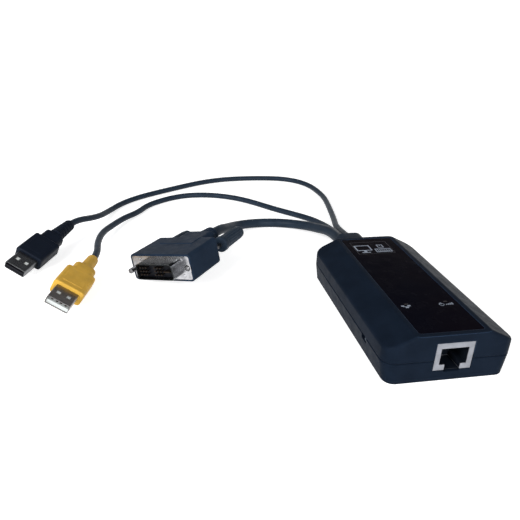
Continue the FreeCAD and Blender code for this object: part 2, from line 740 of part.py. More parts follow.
# ---------------------------------------------------------------- switch
SWITCH_X = -BOARD_EDGE + SWITCH_BODY_DEPTH / 2
SWITCH_MIDDLE = SEAM_HEIGHT - SWITCH_SLOT_HEIGHT / 2
SWITCH_WINDOW = KNOB_LENGTH + KNOB_TRAVEL
KNOB_Y = SWITCH_Y - KNOB_TRAVEL / 2
KNOB_FOOT_LENGTH = KNOB_LENGTH + 1.6
KNOB_FOOT_HEIGHT = KNOB_HEIGHT + 1.0
KNOB_FOOT_DEPTH = 1.4
KNOB_RECESS = 0.5


def around(x0, x1, y, length, z, height, room=0.0):
    return box(x0 - room, x1 + room, y - length / 2 - room, y + length / 2 + room,
               z - height / 2 - room, z + height / 2 + room)


def switch_body():
    outside = -BOARD_EDGE
    body = on_board(SWITCH_X, SWITCH_Y, SWITCH_BODY_DEPTH, SWITCH_BODY_LENGTH, SWITCH_BODY_HEIGHT)
    foot_start = outside + 0.6
    chamber = around(foot_start, foot_start + KNOB_FOOT_DEPTH, SWITCH_Y,
                     KNOB_FOOT_LENGTH + KNOB_TRAVEL, SWITCH_MIDDLE, KNOB_FOOT_HEIGHT, KNOB_FIT)
    window = around(outside - 1, foot_start + 0.1, SWITCH_Y, SWITCH_WINDOW,
                    SWITCH_MIDDLE, KNOB_HEIGHT, KNOB_FIT)
    return body.cut(chamber).cut(window)


def switch_knob():
    foot_start = -BOARD_EDGE + 0.6
    tip = -HOUSING_WIDTH / 2 + KNOB_RECESS
    stem = around(tip, foot_start + 0.2, KNOB_Y, KNOB_LENGTH, SWITCH_MIDDLE, KNOB_HEIGHT)
    foot = around(foot_start, foot_start + KNOB_FOOT_DEPTH, KNOB_Y, KNOB_FOOT_LENGTH,
                  SWITCH_MIDDLE, KNOB_FOOT_HEIGHT)
    knob = stem.fuse(foot)
    return knob.makeFillet(0.2, edges_where(knob, lambda e: at_mid(e).x < tip + 0.01))


save("switch_body", switch_body())
save("switch_knob", switch_knob())


# ---------------------------------------------------------------- grommet
GROMMET_END = HALF_LENGTH + GROMMET_REACH
CORD_START = GROMMET_END + COLLAR_LENGTH
EXITS = ((DVI_EXIT, DVI_CORD_DIAMETER), (YELLOW_EXIT, USB_CORD_DIAMETER),
         (BLACK_EXIT, USB_CORD_DIAMETER))


def cable_grommet():
    boss = bar(GROMMET_WIDTH, GROMMET_HEIGHT, GROMMET_CORNER, HALF_LENGTH - WALL - 0.5, GROMMET_END)
    boss = boss.makeFillet(0.8, edges_where(boss, lambda e: at_mid(e).y > GROMMET_END - 0.01))
    flange = bar(GROMMET_WIDTH + 2 * GROMMET_FLANGE, GROMMET_HEIGHT + 2 * GROMMET_FLANGE,
                 GROMMET_CORNER + GROMMET_FLANGE, GROMMET_BACK, HALF_LENGTH - WALL)
    shape = boss.fuse(flange)
    shape.translate(V(GROMMET_X, 0, GROMMET_MIDDLE))
    for (x, drop), diameter in EXITS:
        collar = rod(diameter + 2 * COLLAR_WALL, V(x, GROMMET_END - 1.0, GROMMET_MIDDLE + drop),
                     V(0, 1, 0), COLLAR_LENGTH + 1.0)
        shape = shape.fuse(collar)
    return shape.removeSplitter()


save("cable_grommet", cable_grommet())


# ---------------------------------------------------------------- tubes
def tube_path(points):
    """Straight runs joined by tangent arcs; also returns the arcs' radii."""
    radii = []
    pieces = []
    start = points[0]
    for i in range(1, len(points) - 1):
        before = points[i] - points[i - 1]
        after = points[i + 1] - points[i]
        turn = before.getAngle(after)
        cut_back = 0.45 * min(before.Length, after.Length)
        radius = cut_back / math.tan(turn / 2)
        radii.append(radius)
        backward = V(before).normalize() * -cut_back
        forward = V(after).normalize() * cut_back
        entry = points[i] + backward
        leave = points[i] + forward
        bisector = (backward + forward).normalize()
        sag = radius / math.cos(turn / 2) - radius
        pieces.append(Part.LineSegment(start, entry).toShape())
        pieces.append(Part.Arc(entry, points[i] + bisector * sag, leave).toShape())
        start = leave
    pieces.append(Part.LineSegment(start, points[-1]).toShape())
    return Part.Wire(pieces), radii


def tube(points, diameter):
    """A round tube along the path, and the path itself."""
    path, radii = tube_path(points)
    direction = points[1] - points[0]
    circle = Part.Wire([Part.Circle(points[0], direction, diameter / 2).toShape()])
    pipe = path.makePipeShell([circle], True, False)
    return pipe, path, radii


def cord(name, points, diameter):
    """Saves a free cord and reports how far it can be trusted."""
    pipe, path, radii = tube(points, diameter)
    save(name, pipe)
    section = math.pi * diameter ** 2 / 4
    print(name, "length %.1f" % path.Length, "tightest %.1f diameters" % (min(radii) / diameter),
          "radii", " ".join("%.0f" % r for r in radii),
          "volume ratio %.4f" % (pipe.Volume / (section * path.Length)))


def wire_bundle(exit_place, cord_diameter, header, count):
    """The cord's inner wires, from the grommet down to their board plug."""
    center, width = header
    wires = []
    spread = cord_diameter - WIRE_DIAMETER
    low = GROMMET_MIDDLE + exit_place[1]
    high = WIRE_PLUG_TOP + WIRE_RISE
    for i in range(count):
        share = (i / (count - 1)) - 0.5
        start_x = exit_place[0] + share * spread
        end_x = center + share * (width - 2 * HEADER_WALL - 2 * WIRE_MARGIN)
        wires.append(tube([
            V(start_x, GROMMET_BACK, low), V(start_x, GROMMET_BACK - WIRE_STRAIGHT, low),
            V(end_x, GROMMET_BACK - WIRE_STRAIGHT - WIRE_CROSSING, high), V(end_x, HEADER_Y, high),
            V(end_x, HEADER_Y, WIRE_PLUG_TOP),
        ], WIRE_DIAMETER)[0])
    return Part.makeCompound(wires)


save("dvi_wires", wire_bundle(DVI_EXIT, DVI_CORD_DIAMETER, HEADERS[0], 6))
save("yellow_usb_wires", wire_bundle(YELLOW_EXIT, USB_CORD_DIAMETER, HEADERS[1], 4))
save("black_usb_wires", wire_bundle(BLACK_EXIT, USB_CORD_DIAMETER, HEADERS[2], 4))


# ---------------------------------------------------------------- USB plugs
USB_BODY_END = USB_SHELL_EXPOSED + USB_BODY_LENGTH
USB_NECK_END = USB_BODY_END + USB_NECK_LENGTH
USB_SHELL_END = USB_SHELL_EXPOSED + USB_SHELL_BURIED
BLACK_END = USB_NECK_END + BLACK_TAIL_LENGTH
YELLOW_END = USB_NECK_END + YELLOW_TAIL_LENGTH


def usb_shell():
    outer = bar(USB_SHELL_WIDTH, USB_SHELL_HEIGHT, USB_SHELL_CORNER, 0, USB_SHELL_END)
    inner = bar(USB_SHELL_WIDTH - 2 * USB_SHELL_WALL, USB_SHELL_HEIGHT - 2 * USB_SHELL_WALL,
                USB_SHELL_CORNER - USB_SHELL_WALL, -1, USB_SHELL_END + 1)
    shell = outer.cut(inner)
    for side in (-1, 1):
        x = side * USB_WINDOW_SPACING / 2
        window = box(x - USB_WINDOW_WIDTH / 2, x + USB_WINDOW_WIDTH / 2,
                     USB_WINDOW_FROM_MOUTH - USB_WINDOW_LENGTH / 2,
                     USB_WINDOW_FROM_MOUTH + USB_WINDOW_LENGTH / 2,
                     -USB_SHELL_HEIGHT, USB_SHELL_HEIGHT)
        shell = shell.cut(window)
    return shell


def usb_core():
    width = USB_SHELL_WIDTH - 2 * USB_SHELL_WALL - 0.1
    height = USB_SHELL_HEIGHT - 2 * USB_SHELL_WALL - 0.1
    bottom = -height / 2
    corner = USB_SHELL_CORNER - USB_SHELL_WALL
    root = bar(width, height, corner, USB_SHELL_EXPOSED - 1.5, USB_SHELL_END)
    tongue = bar(width, height, corner, USB_TONGUE_SET_BACK, USB_SHELL_END)
    above = box(-width, width, -1, USB_SHELL_END + 1, bottom + USB_TONGUE_THICKNESS, height)
    core = tongue.cut(above).fuse(root)
    for x in USB_CONTACT_XS:
        core = core.cut(usb_contact(x))
    return core


def usb_contact(x):
    height = USB_SHELL_HEIGHT - 2 * USB_SHELL_WALL - 0.1
    top = -height / 2 + USB_TONGUE_THICKNESS
    return box(x - USB_CONTACT_WIDTH / 2, x + USB_CONTACT_WIDTH / 2, USB_TONGUE_SET_BACK + 1.2,
               USB_SHELL_EXPOSED, top - USB_CONTACT_THICKNESS, top)


def usb_overmould(tail_length, ribbed):
    """The plug's moulding: grip, neck and bend relief in one piece."""
    body = bar(USB_BODY_WIDTH, USB_BODY_HEIGHT, USB_BODY_CORNER, USB_SHELL_EXPOSED, USB_BODY_END)
    ends = edges_where(
        body, lambda e: at_mid(e).y < USB_SHELL_EXPOSED + 0.01 or at_mid(e).y > USB_BODY_END - 0.01
    )
    body = body.makeFillet(0.7, ends)
    neck = bar(USB_NECK_WIDTH, USB_NECK_HEIGHT, 2.6, USB_BODY_END - 1.5, USB_NECK_END)
    neck = neck.makeFillet(1.0, edges_where(neck, lambda e: at_mid(e).y > USB_NECK_END - 0.01))
    tail = Part.makeCone(USB_TAIL_DIAMETER / 2, USB_TAIL_END_DIAMETER / 2, tail_length + 1.0,
                         V(0, USB_NECK_END - 1.0, 0), V(0, 1, 0))
    if ribbed:
        pitch = (tail_length - USB_RIB_START - USB_RIB_WIDTH) / USB_RIB_COUNT
        for i in range(USB_RIB_COUNT):
            y = USB_NECK_END + USB_RIB_START + i * pitch
            ring = rod(USB_TAIL_DIAMETER + 2, V(0, y, 0), V(0, 1, 0), USB_RIB_WIDTH)
            core = rod(USB_TAIL_END_DIAMETER - 2 * USB_RIB_DEPTH, V(0, y - 1, 0), V(0, 1, 0),
                       USB_RIB_WIDTH + 2)
            tail = tail.cut(ring.cut(core))
    shape = body.fuse(neck).fuse(tail)
    pocket = bar(USB_SHELL_WIDTH, USB_SHELL_HEIGHT, USB_SHELL_CORNER, 0, USB_SHELL_END)
    return shape.cut(pocket)


def save_usb_plug(color, place, tail_length, ribbed):
    save(color + "_usb_shell", placed(usb_shell(), place))
    save(color + "_usb_core", placed(usb_core(), place))
    contacts = Part.makeCompound([usb_contact(x) for x in USB_CONTACT_XS])
    save(color + "_usb_contacts", placed(contacts, place))
    save(color + "_usb_plug", placed(usb_overmould(tail_length, ribbed), place))


save_usb_plug("black", BLACK_PLACE, BLACK_TAIL_LENGTH, True)
save_usb_plug("yellow", YELLOW_PLACE, YELLOW_TAIL_LENGTH, False)


# ---------------------------------------------------------------- DVI plug
HOOD_NECK_END = HOOD_LENGTH + HOOD_NECK_LENGTH
HOOD_END = HOOD_NECK_END + HOOD_TAIL_LENGTH
FLANGE_BACK = FLANGE_SET_BACK + FLANGE_THICKNESS
CHAMBER_LENGTH = THUMBSCREW_TRAVEL + CLIP_THICKNESS + 2 * END_PLAY
SCREW_OFFSET = THUMBSCREW_SPACING / 2
DVI_CORE_FRONT = -DVI_SHELL_REACH + DVI_CORE_SET_BACK
PIN_COLUMNS = (-9.6, -7.7, -5.8, -0.1, 1.8, 3.7)
BLADE_X = 7.6
GRIP_WIDTH = 24.0
GRIP_START = 14.0
GRIP_END = 24.0
GRIP_DEPTH = 0.4


def dvi_outline(inset, y0, y1):
    """The keyed outline of the plug's metal collar."""
    x = DVI_SHELL_WIDTH / 2 - inset
    z = DVI_SHELL_HEIGHT / 2 - inset
    keyed = 0.5
    block = polygon_prism([(-x, 0, -z), (x, 0, -z), (x - keyed, 0, z), (-x + keyed, 0, z)],
                          V(0, y0, 0), V(0, y1, 0))
    corners = edges_where(block, lambda e: is_along(e, V(0, 1, 0)))
    return block.makeFillet(DVI_SHELL_CORNER - inset, corners)


def screw_rod(side, diameter, y0, y1):
    return rod(diameter, V(side * SCREW_OFFSET, y0, 0), V(0, 1, 0), y1 - y0)


def dvi_hood():
    body = bar(HOOD_WIDTH, HOOD_HEIGHT, HOOD_CORNER, 0, HOOD_LENGTH)
    body = body.makeFillet(0.5, edges_where(body, lambda e: at_mid(e).y < 0.01))
    body = body.makeFillet(1.2, edges_where(body, lambda e: at_mid(e).y > HOOD_LENGTH - 0.01))
    neck = bar(HOOD_NECK_WIDTH, HOOD_NECK_HEIGHT, 3.0, HOOD_LENGTH - 2, HOOD_NECK_END)
    neck = neck.makeFillet(1.5, edges_where(neck, lambda e: at_mid(e).y > HOOD_NECK_END - 0.01))
    tail = Part.makeCone(HOOD_TAIL_DIAMETER / 2, HOOD_TAIL_END_DIAMETER / 2, HOOD_TAIL_LENGTH + 1,
                         V(0, HOOD_NECK_END - 1, 0), V(0, 1, 0))
    tail = tail.makeFillet(1.0, edges_where(tail, lambda e: at_mid(e).y > HOOD_END - 0.01))
    for i in range(TAIL_GROOVE_COUNT):
        y = HOOD_NECK_END + TAIL_GROOVE_START + i * TAIL_GROOVE_PITCH
        ring = rod(HOOD_TAIL_DIAMETER + 2, V(0, y, 0), V(0, 1, 0), TAIL_GROOVE_WIDTH)
        core = rod(HOOD_TAIL_END_DIAMETER - 2 * TAIL_GROOVE_DEPTH, V(0, y - 1, 0), V(0, 1, 0),
                   TAIL_GROOVE_WIDTH + 2)
        tail = tail.cut(ring.cut(core))
    hood = body.fuse(neck).fuse(tail)
    for side in (-1, 1):
        level = side * HOOD_HEIGHT / 2
        grip = box(-GRIP_WIDTH / 2, GRIP_WIDTH / 2, GRIP_START, GRIP_END,
                   level - GRIP_DEPTH, level + GRIP_DEPTH)
        hood = hood.cut(grip)
    hood = hood.cut(bar(FLANGE_WIDTH, FLANGE_HEIGHT, 1.2, -1, FLANGE_BACK))
    hood = hood.cut(dvi_outline(DVI_SHELL_WALL, 0, DVI_CORE_DEPTH))
    for side in (-1, 1):
        hood = hood.cut(screw_rod(side, THUMBSCREW_SHANK + 2 * RUNNING_FIT, 0, HOOD_LENGTH + 1))
        hood = hood.cut(screw_rod(side, CLIP_DIAMETER + 2 * LOOSE_FIT, 0, FLANGE_BACK + CHAMBER_LENGTH))
    return hood


def dvi_shell():
    flange = bar(FLANGE_WIDTH, FLANGE_HEIGHT, 1.2, FLANGE_SET_BACK, FLANGE_BACK)
    collar = dvi_outline(0, -DVI_SHELL_REACH, FLANGE_BACK)
    shell = flange.fuse(collar)
    shell = shell.cut(dvi_outline(DVI_SHELL_WALL, -DVI_SHELL_REACH - 1, FLANGE_BACK + 1))
    for side in (-1, 1):
        shell = shell.cut(screw_rod(side, THUMBSCREW_SHANK + 2 * LOOSE_FIT, -1, FLANGE_BACK + 1))
    return shell


def dvi_pin(x, z):
    pin = rod(PIN_DIAMETER, V(x, DVI_CORE_FRONT - PIN_REACH, z), V(0, 1, 0),
              PIN_REACH + DVI_CORE_DEPTH - DVI_CORE_FRONT - 1.0)
    tip = edges_where(pin, lambda e: at_mid(e).y < DVI_CORE_FRONT - PIN_REACH + 0.01)
    return pin.makeChamfer(0.2, tip)


PIN_PLACES = [(x, row * PIN_PITCH) for x in PIN_COLUMNS for row in (-1, 0, 1)]


def dvi_blade():
    return box(BLADE_X - BLADE_WIDTH / 2, BLADE_X + BLADE_WIDTH / 2, DVI_CORE_FRONT - PIN_REACH,
               DVI_CORE_DEPTH - 1.0, -BLADE_THICKNESS / 2, BLADE_THICKNESS / 2)


def dvi_core():
    core = dvi_outline(DVI_SHELL_WALL + 0.05, DVI_CORE_FRONT, DVI_CORE_DEPTH)
    for x, z in PIN_PLACES:
        core = core.cut(rod(PIN_DIAMETER, V(x, DVI_CORE_FRONT - 1, z), V(0, 1, 0),
                            DVI_CORE_DEPTH - DVI_CORE_FRONT))
    return core.cut(dvi_blade())


def screw_clip(side, drawn_back):
    """The ring that sits in the screw's groove and keeps it in the hood."""
    front = FLANGE_BACK + END_PLAY + drawn_back
    ring = screw_rod(side, CLIP_DIAMETER, front, front + CLIP_THICKNESS)
    return ring.cut(screw_rod(side, CLIP_GROOVE + 2 * RUNNING_FIT, front - 1, front + 2))


def thumbscrew(side, drawn_back):
    tip = -THUMBSCREW_TIP - THUMBSCREW_TRAVEL + drawn_back
    knob = HOOD_LENGTH + KNOB_STANDOFF - THUMBSCREW_TRAVEL + drawn_back
    end = knob + THUMBSCREW_KNOB_LENGTH
    screw = screw_rod(side, THUMBSCREW_SHANK, tip, knob + 1)
    point = edges_where(screw, lambda e: at_mid(e).y < tip + 0.01)
    screw = screw.makeChamfer(0.5, point)
    collar = screw_rod(side, THUMBSCREW_RIM, knob, knob + THUMBSCREW_RIM_LENGTH)
    collar = collar.makeFillet(0.4, edges_where(collar, lambda e: not is_along(e, V(0, 1, 0))))
    grip = Part.makeCone(THUMBSCREW_KNOB / 2, THUMBSCREW_KNOB_END / 2, end - knob - 1,
                         V(side * SCREW_OFFSET, knob + 1, 0), V(0, 1, 0))
    grip = grip.makeFillet(1.6, edges_where(grip, lambda e: at_mid(e).y > end - 0.01))
    screw = screw.fuse(collar).fuse(grip)
    groove_front = FLANGE_BACK + drawn_back
    groove_back = groove_front + CLIP_THICKNESS + 2 * END_PLAY
    groove = screw_rod(side, THUMBSCREW_SHANK + 1, groove_front, groove_back)
    groove = groove.cut(screw_rod(side, CLIP_GROOVE, groove_front - 1, groove_back + 1))
    return screw.cut(groove)


save("dvi_hood", placed(dvi_hood(), DVI_PLACE))
save("dvi_shell", placed(dvi_shell(), DVI_PLACE))
save("dvi_core", placed(dvi_core(), DVI_PLACE))
save("dvi_pins", placed(Part.makeCompound([dvi_pin(x, z) for x, z in PIN_PLACES]), DVI_PLACE))
save("dvi_blade", placed(dvi_blade(), DVI_PLACE))
save("left_screw_clip", placed(screw_clip(-1, 0.0), DVI_PLACE))
save("left_thumbscrew", placed(thumbscrew(-1, 0.0), DVI_PLACE))
save("right_screw_clip", placed(screw_clip(1, THUMBSCREW_TRAVEL), DVI_PLACE))
save("right_thumbscrew", placed(thumbscrew(1, THUMBSCREW_TRAVEL), DVI_PLACE))


# ---------------------------------------------------------------- cords
def at_exit(exit_place, distance=0.0):
    """A point straight behind the end of one of the grommet's collars."""
    return V(exit_place[0], CORD_START + distance, GROMMET_MIDDLE + exit_place[1])


cord("dvi_cord", [
    at_exit(DVI_EXIT), at_exit(DVI_EXIT, 8.0), V(-7.4, 86.0, 10.4), V(-10.7, 95.5, 8.2),
    V(-15.0, 105.7, 5.9), V(-21.6, 113.5, 4.3), V(-29.4, 118.6, 3.4), V(-38.4, 120.9, 3.1),
    V(-47.6, 120.0, 3.5), V(-56.1, 116.3, 4.5), V(-63.5, 110.3, 6.1), V(-69.3, 101.7, 8.5),
    along_plug(DVI_PLACE, HOOD_END + 9.0), along_plug(DVI_PLACE, HOOD_END),
], DVI_CORD_DIAMETER)
cord("yellow_usb_cord", [
    at_exit(YELLOW_EXIT), at_exit(YELLOW_EXIT, 8.0), V(-0.9, 95.5, 6.4), V(-2.3, 110.4, 4.4),
    V(-5.9, 123.6, 2.9), V(-12.9, 134.7, 2.1), V(-21.1, 143.2, 2.05), V(-30.1, 153.2, 2.05),
    V(-40.5, 166.2, 2.05), V(-51.5, 176.4, 2.1), V(-64.7, 184.0, 2.05), V(-78.6, 187.3, 2.05),
    V(-91.3, 186.4, 2.1), V(-103.9, 181.1, 2.05), V(-119.3, 168.4, 2.05), V(-126.1, 153.7, 2.1),
    V(-135.5, 141.0, 3.1), V(-142.4, 126.9, 3.7), V(-147.9, 112.3, 4.9), V(-149.4, 95.7, 5.5),
    along_plug(YELLOW_PLACE, YELLOW_END + 9.0), along_plug(YELLOW_PLACE, YELLOW_END),
], USB_CORD_DIAMETER)
cord("black_usb_cord", [
    at_exit(BLACK_EXIT), at_exit(BLACK_EXIT, 7.0), V(4.9, 103.8, 4.7), V(8.9, 119.4, 3.4),
    V(12.5, 136.2, 2.6), V(15.5, 152.8, 2.1), V(18.0, 169.4, 2.05), V(17.5, 185.0, 2.1),
    V(15.2, 200.6, 2.05), V(8.7, 213.4, 2.05), V(-3.7, 222.6, 2.1), V(-20.9, 226.2, 2.05),
    V(-40.1, 226.9, 2.1), V(-58.1, 225.2, 2.05), V(-75.9, 218.8, 2.05), V(-93.2, 208.4, 2.1),
    V(-107.8, 199.4, 2.05), V(-120.6, 190.8, 2.05), V(-131.7, 181.6, 2.1), V(-140.7, 170.4, 2.1),
    V(-147.1, 156.3, 2.7), V(-153.0, 139.2, 5.3),
    along_plug(BLACK_PLACE, BLACK_END + 6.5), along_plug(BLACK_PLACE, BLACK_END),
], USB_CORD_DIAMETER)
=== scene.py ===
"""Dressed model of a server adapter: a housing, three cords and their plugs."""

import logging
import math
from dataclasses import dataclass, field
from enum import Enum
from typing import Dict, List, Optional, Tuple

import bmesh
import bpy
from mathutils import Matrix, Vector


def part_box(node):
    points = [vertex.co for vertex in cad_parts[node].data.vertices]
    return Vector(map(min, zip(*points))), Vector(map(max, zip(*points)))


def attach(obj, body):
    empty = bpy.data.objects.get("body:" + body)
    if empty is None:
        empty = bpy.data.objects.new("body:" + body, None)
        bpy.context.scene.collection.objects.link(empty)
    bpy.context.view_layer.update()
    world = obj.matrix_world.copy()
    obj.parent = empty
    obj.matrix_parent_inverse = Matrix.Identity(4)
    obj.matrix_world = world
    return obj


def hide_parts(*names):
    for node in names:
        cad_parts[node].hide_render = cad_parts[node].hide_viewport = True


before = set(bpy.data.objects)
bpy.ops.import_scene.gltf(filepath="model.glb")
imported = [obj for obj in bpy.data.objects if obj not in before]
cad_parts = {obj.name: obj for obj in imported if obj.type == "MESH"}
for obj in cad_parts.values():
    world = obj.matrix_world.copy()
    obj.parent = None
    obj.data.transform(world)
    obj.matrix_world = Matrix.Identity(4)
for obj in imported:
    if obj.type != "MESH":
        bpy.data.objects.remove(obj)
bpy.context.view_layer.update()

MM = 0.001
Colour = Tuple[float, float, float]
Point = Tuple[float, float, float]
log = logging.getLogger("adapter")


# ---------------------------------------------------------------- materials
class Graph:
    """A material's node tree with short ways to add the usual nodes."""

    def __init__(self, name: str) -> None:
        """Starts an empty material with a surface shader.

        Args:
            name: The material's name.
        """
        self.material = bpy.data.materials.new(name)
        self.material.use_nodes = True
        self.nodes = self.material.node_tree.nodes
        self.links = self.material.node_tree.links
        self.shader = self.nodes["Principled BSDF"]
        self.coords = self.nodes.new("ShaderNodeTexCoord").outputs["Object"]

    def set(self, **values: object) -> None:
        """Sets the shader's own sockets.

        Args:
            **values: Socket names, with underscores for spaces, and values.
        """
        for name, value in values.items():
            self.shader.inputs[name.replace("_", " ")].default_value = value

    def join(self, output: bpy.types.NodeSocket, name: str) -> None:
        """Links an output to one of the shader's sockets."""
        self.links.new(output, self.shader.inputs[name])

    def stretched(self, scale: Point, turn: Point = (0.0, 0.0, 0.0)) -> bpy.types.NodeSocket:
        """Object coordinates, scaled and turned.

        Args:
            scale: The scale along each axis.
            turn: The rotation, in degrees.

        Returns:
            The vector output.
        """
        node = self.nodes.new("ShaderNodeMapping")
        node.inputs["Scale"].default_value = scale
        node.inputs["Rotation"].default_value = [math.radians(a) for a in turn]
        self.links.new(self.coords, node.inputs["Vector"])
        return node.outputs["Vector"]

    def noise(
        self,
        size: float,
        detail: float = 2.0,
        vector: Optional[bpy.types.NodeSocket] = None,
    ) -> bpy.types.NodeSocket:
        """A noise pattern.

        Args:
            size: The width of one blotch, in metres.
            detail: How many finer layers it has.
            vector: The coordinates, or None for the object's own.

        Returns:
            The pattern's value, around a half.
        """
        node = self.nodes.new("ShaderNodeTexNoise")
        node.inputs["Scale"].default_value = 1.0 / size
        node.inputs["Detail"].default_value = detail
        self.links.new(vector or self.coords, node.inputs["Vector"])
        return node.outputs["Fac"]

    def spread(
        self, value: bpy.types.NodeSocket, low: float, high: float, start: float = 0.35, end: float = 0.65
    ) -> bpy.types.NodeSocket:
        """Maps a pattern onto a range, clamped.

        Args:
            value: The pattern.
            low: The result at start.
            high: The result at end.
            start: The pattern's value that gives low.
            end: The pattern's value that gives high.

        Returns:
            The mapped value.
        """
        node = self.nodes.new("ShaderNodeMapRange")
        node.inputs["From Min"].default_value = start
        node.inputs["From Max"].default_value = end
        node.inputs["To Min"].default_value = low
        node.inputs["To Max"].default_value = high
        self.links.new(value, node.inputs["Value"])
        return node.outputs["Result"]

    def mix(
        self, factor: bpy.types.NodeSocket, first: object, second: object
    ) -> bpy.types.NodeSocket:
        """Mixes two colours.

        Args:
            factor: How much of the second colour shows.
            first: A colour or an output.
            second: A colour or an output.

        Returns:
            The mixed colour.
        """
        node = self.nodes.new("ShaderNodeMix")
        node.data_type = "RGBA"
        self.links.new(factor, node.inputs["Factor"])
        for name, value in (("A", first), ("B", second)):
            socket = next(s for s in node.inputs if s.name == name and s.type == "RGBA")
            if isinstance(value, bpy.types.NodeSocket):
                self.links.new(value, socket)
            else:
                socket.default_value = (*value, 1.0)
        return next(s for s in node.outputs if s.type == "RGBA")

    def bump(
        self,
        height: bpy.types.NodeSocket,
        depth: float,
        below: Optional[bpy.types.NodeSocket] = None,
    ) -> bpy.types.NodeSocket:
        """A bump over an optional other one.

        Args:
            height: The pattern that is the relief.
            depth: The relief's height, in metres.
            below: The normal that this one lies on.

        Returns:
            The normal.
        """
        node = self.nodes.new("ShaderNodeBump")
        node.inputs["Distance"].default_value = depth
        self.links.new(height, node.inputs["Height"])
        if below is not None:
            self.links.new(below, node.inputs["Normal"])
        return node.outputs["Normal"]

    def combine(
        self, operation: str, first: bpy.types.NodeSocket, second: bpy.types.NodeSocket
    ) -> bpy.types.NodeSocket:
        """One step of arithmetic on two values.

        Args:
            operation: The math node's operation.
            first: The first value.
            second: The second value.

        Returns:
            The result.
        """
        node = self.nodes.new("ShaderNodeMath")
        node.operation = operation
        self.links.new(first, node.inputs[0])
        self.links.new(second, node.inputs[1])
        return node.outputs["Value"]

    def round_edge(self, radius: float) -> bpy.types.NodeSocket:
        """The normal with every edge softened by a radius, in metres."""
        node = self.nodes.new("ShaderNodeBevel")
        node.samples = 4
        node.inputs["Radius"].default_value = radius
        return node.outputs["Normal"]

    def higher_than(self, height: float) -> bpy.types.NodeSocket:
        """A value that is one above a height and nought a millimetre below it.

        Args:
            height: The height in the piece's own coordinates, in metres.

        Returns:
            The mask.
        """
        parts = self.nodes.new("ShaderNodeSeparateXYZ")
        self.links.new(self.coords, parts.inputs[0])
        return self.spread(parts.outputs["Z"], 0.0, 1.0, height - MM, height)

    def edge_mask(self, radius: float) -> bpy.types.NodeSocket:
        """A value that is one on edges and nought on flat faces.

        Args:
            radius: How far the edge band reaches, in metres.

        Returns:
            The mask.
        """
        geometry = self.nodes.new("ShaderNodeNewGeometry")
        node = self.nodes.new("ShaderNodeVectorMath")
        node.operation = "DOT_PRODUCT"
        self.links.new(self.round_edge(radius), node.inputs[0])
        self.links.new(geometry.outputs["Normal"], node.inputs[1])
        return self.spread(node.outputs["Value"], 1.0, 0.0, 0.8, 0.99)


def lighter(colour: Colour, factor: float) -> Colour:
    """The colour times a factor, up to one."""
    return tuple(min(1.0, c * factor) for c in colour)


@dataclass(frozen=True)
class Moulded:
    """A moulded plastic or rubber: grain, faint blotches, and a painted highlight that lightens its edges
    above a height.
    """

    name: str
    colour: Colour
    roughness: float = 0.5
    gloss: float = 0.5
    grain: float = 0.35 * MM
    relief: float = 0.03 * MM
    blotch: float = 9 * MM
    # The next two fields set the painted highlight on edges: how much lighter it makes the colour, and
    # from what height up it shows.
    edge_highlight: float = 1.6
    edge: float = 0.25 * MM
    highlight_above: float = -100 * MM

    def build(self) -> bpy.types.Material:
        """Makes the material."""
        g = Graph(self.name)
        g.set(Specular_IOR_Level=self.gloss)
        blotches = g.spread(g.noise(self.blotch, 4.0), 0.0, 1.0)
        body = g.mix(blotches, lighter(self.colour, 0.88), lighter(self.colour, 1.1))
        # Painted highlight: the colour is lightened on edges above a height, standing in for the light
        # that rounded edges catch.
        edges = g.combine("MULTIPLY", g.edge_mask(self.edge), g.higher_than(self.highlight_above))
        painted_edge_highlights = g.mix(edges, body, lighter(self.colour, self.edge_highlight))
        g.join(painted_edge_highlights, "Base Color")
        fine = g.noise(self.grain, 3.0)
        uneven = g.noise(self.blotch * 0.4, 3.0)
        g.join(g.spread(uneven, self.roughness - 0.05, self.roughness + 0.06), "Roughness")
        g.join(g.bump(fine, self.relief, g.round_edge(self.edge)), "Normal")
        return g.material


@dataclass(frozen=True)
class Plated:
    """Plated or bare metal with faint smears and rolled streaks."""

    name: str
    colour: Colour
    roughness: float = 0.28
    streak: Point = (1.0, 1.0, 1.0)
    relief: float = 0.004 * MM
    tarnish: float = 0.82

    def build(self) -> bpy.types.Material:
        """Makes the material."""
        g = Graph(self.name)
        g.set(Metallic=1.0)
        smears = g.spread(g.noise(3.5 * MM, 4.0), 0.0, 1.0)
        g.join(g.mix(smears, lighter(self.colour, self.tarnish), self.colour), "Base Color")
        lines = g.noise(0.25 * MM, 3.0, g.stretched(self.streak))
        g.join(g.spread(lines, self.roughness - 0.06, self.roughness + 0.08), "Roughness")
        g.join(g.bump(lines, self.relief, g.round_edge(0.12 * MM)), "Normal")
        return g.material


@dataclass(frozen=True)
class Film:
    """A printed film behind a smooth face, with a trace of orange peel."""

    name: str
    colour: Colour
    tint: Colour
    roughness: float = 0.16
    gloss: float = 0.3

    def build(self) -> bpy.types.Material:
        """Makes the material."""
        g = Graph(self.name)
        g.set(Specular_IOR_Level=self.gloss)
        clouds = g.spread(g.noise(38 * MM, 2.0), 0.0, 1.0)
        g.join(g.mix(clouds, self.colour, self.tint), "Base Color")
        g.join(g.spread(g.noise(6 * MM, 4.0), self.roughness - 0.03, self.roughness + 0.07), "Roughness")
        g.join(g.bump(g.noise(2.2 * MM, 1.0), 0.0012 * MM), "Normal")
        return g.material


@dataclass(frozen=True)
class Ink:
    """Screen-printed ink, slightly uneven."""

    name: str
    colour: Colour
    roughness: float = 0.45

    def build(self) -> bpy.types.Material:
        """Makes the material."""
        g = Graph(self.name)
        uneven = g.spread(g.noise(0.5 * MM, 4.0), 0.0, 1.0)
        g.join(g.mix(uneven, lighter(self.colour, 0.86), self.colour), "Base Color")
        g.join(g.spread(g.noise(0.9 * MM, 2.0), self.roughness - 0.06, self.roughness + 0.06), "Roughness")
        g.join(g.bump(g.noise(0.15 * MM, 2.0), 0.004 * MM), "Normal")
        return g.material


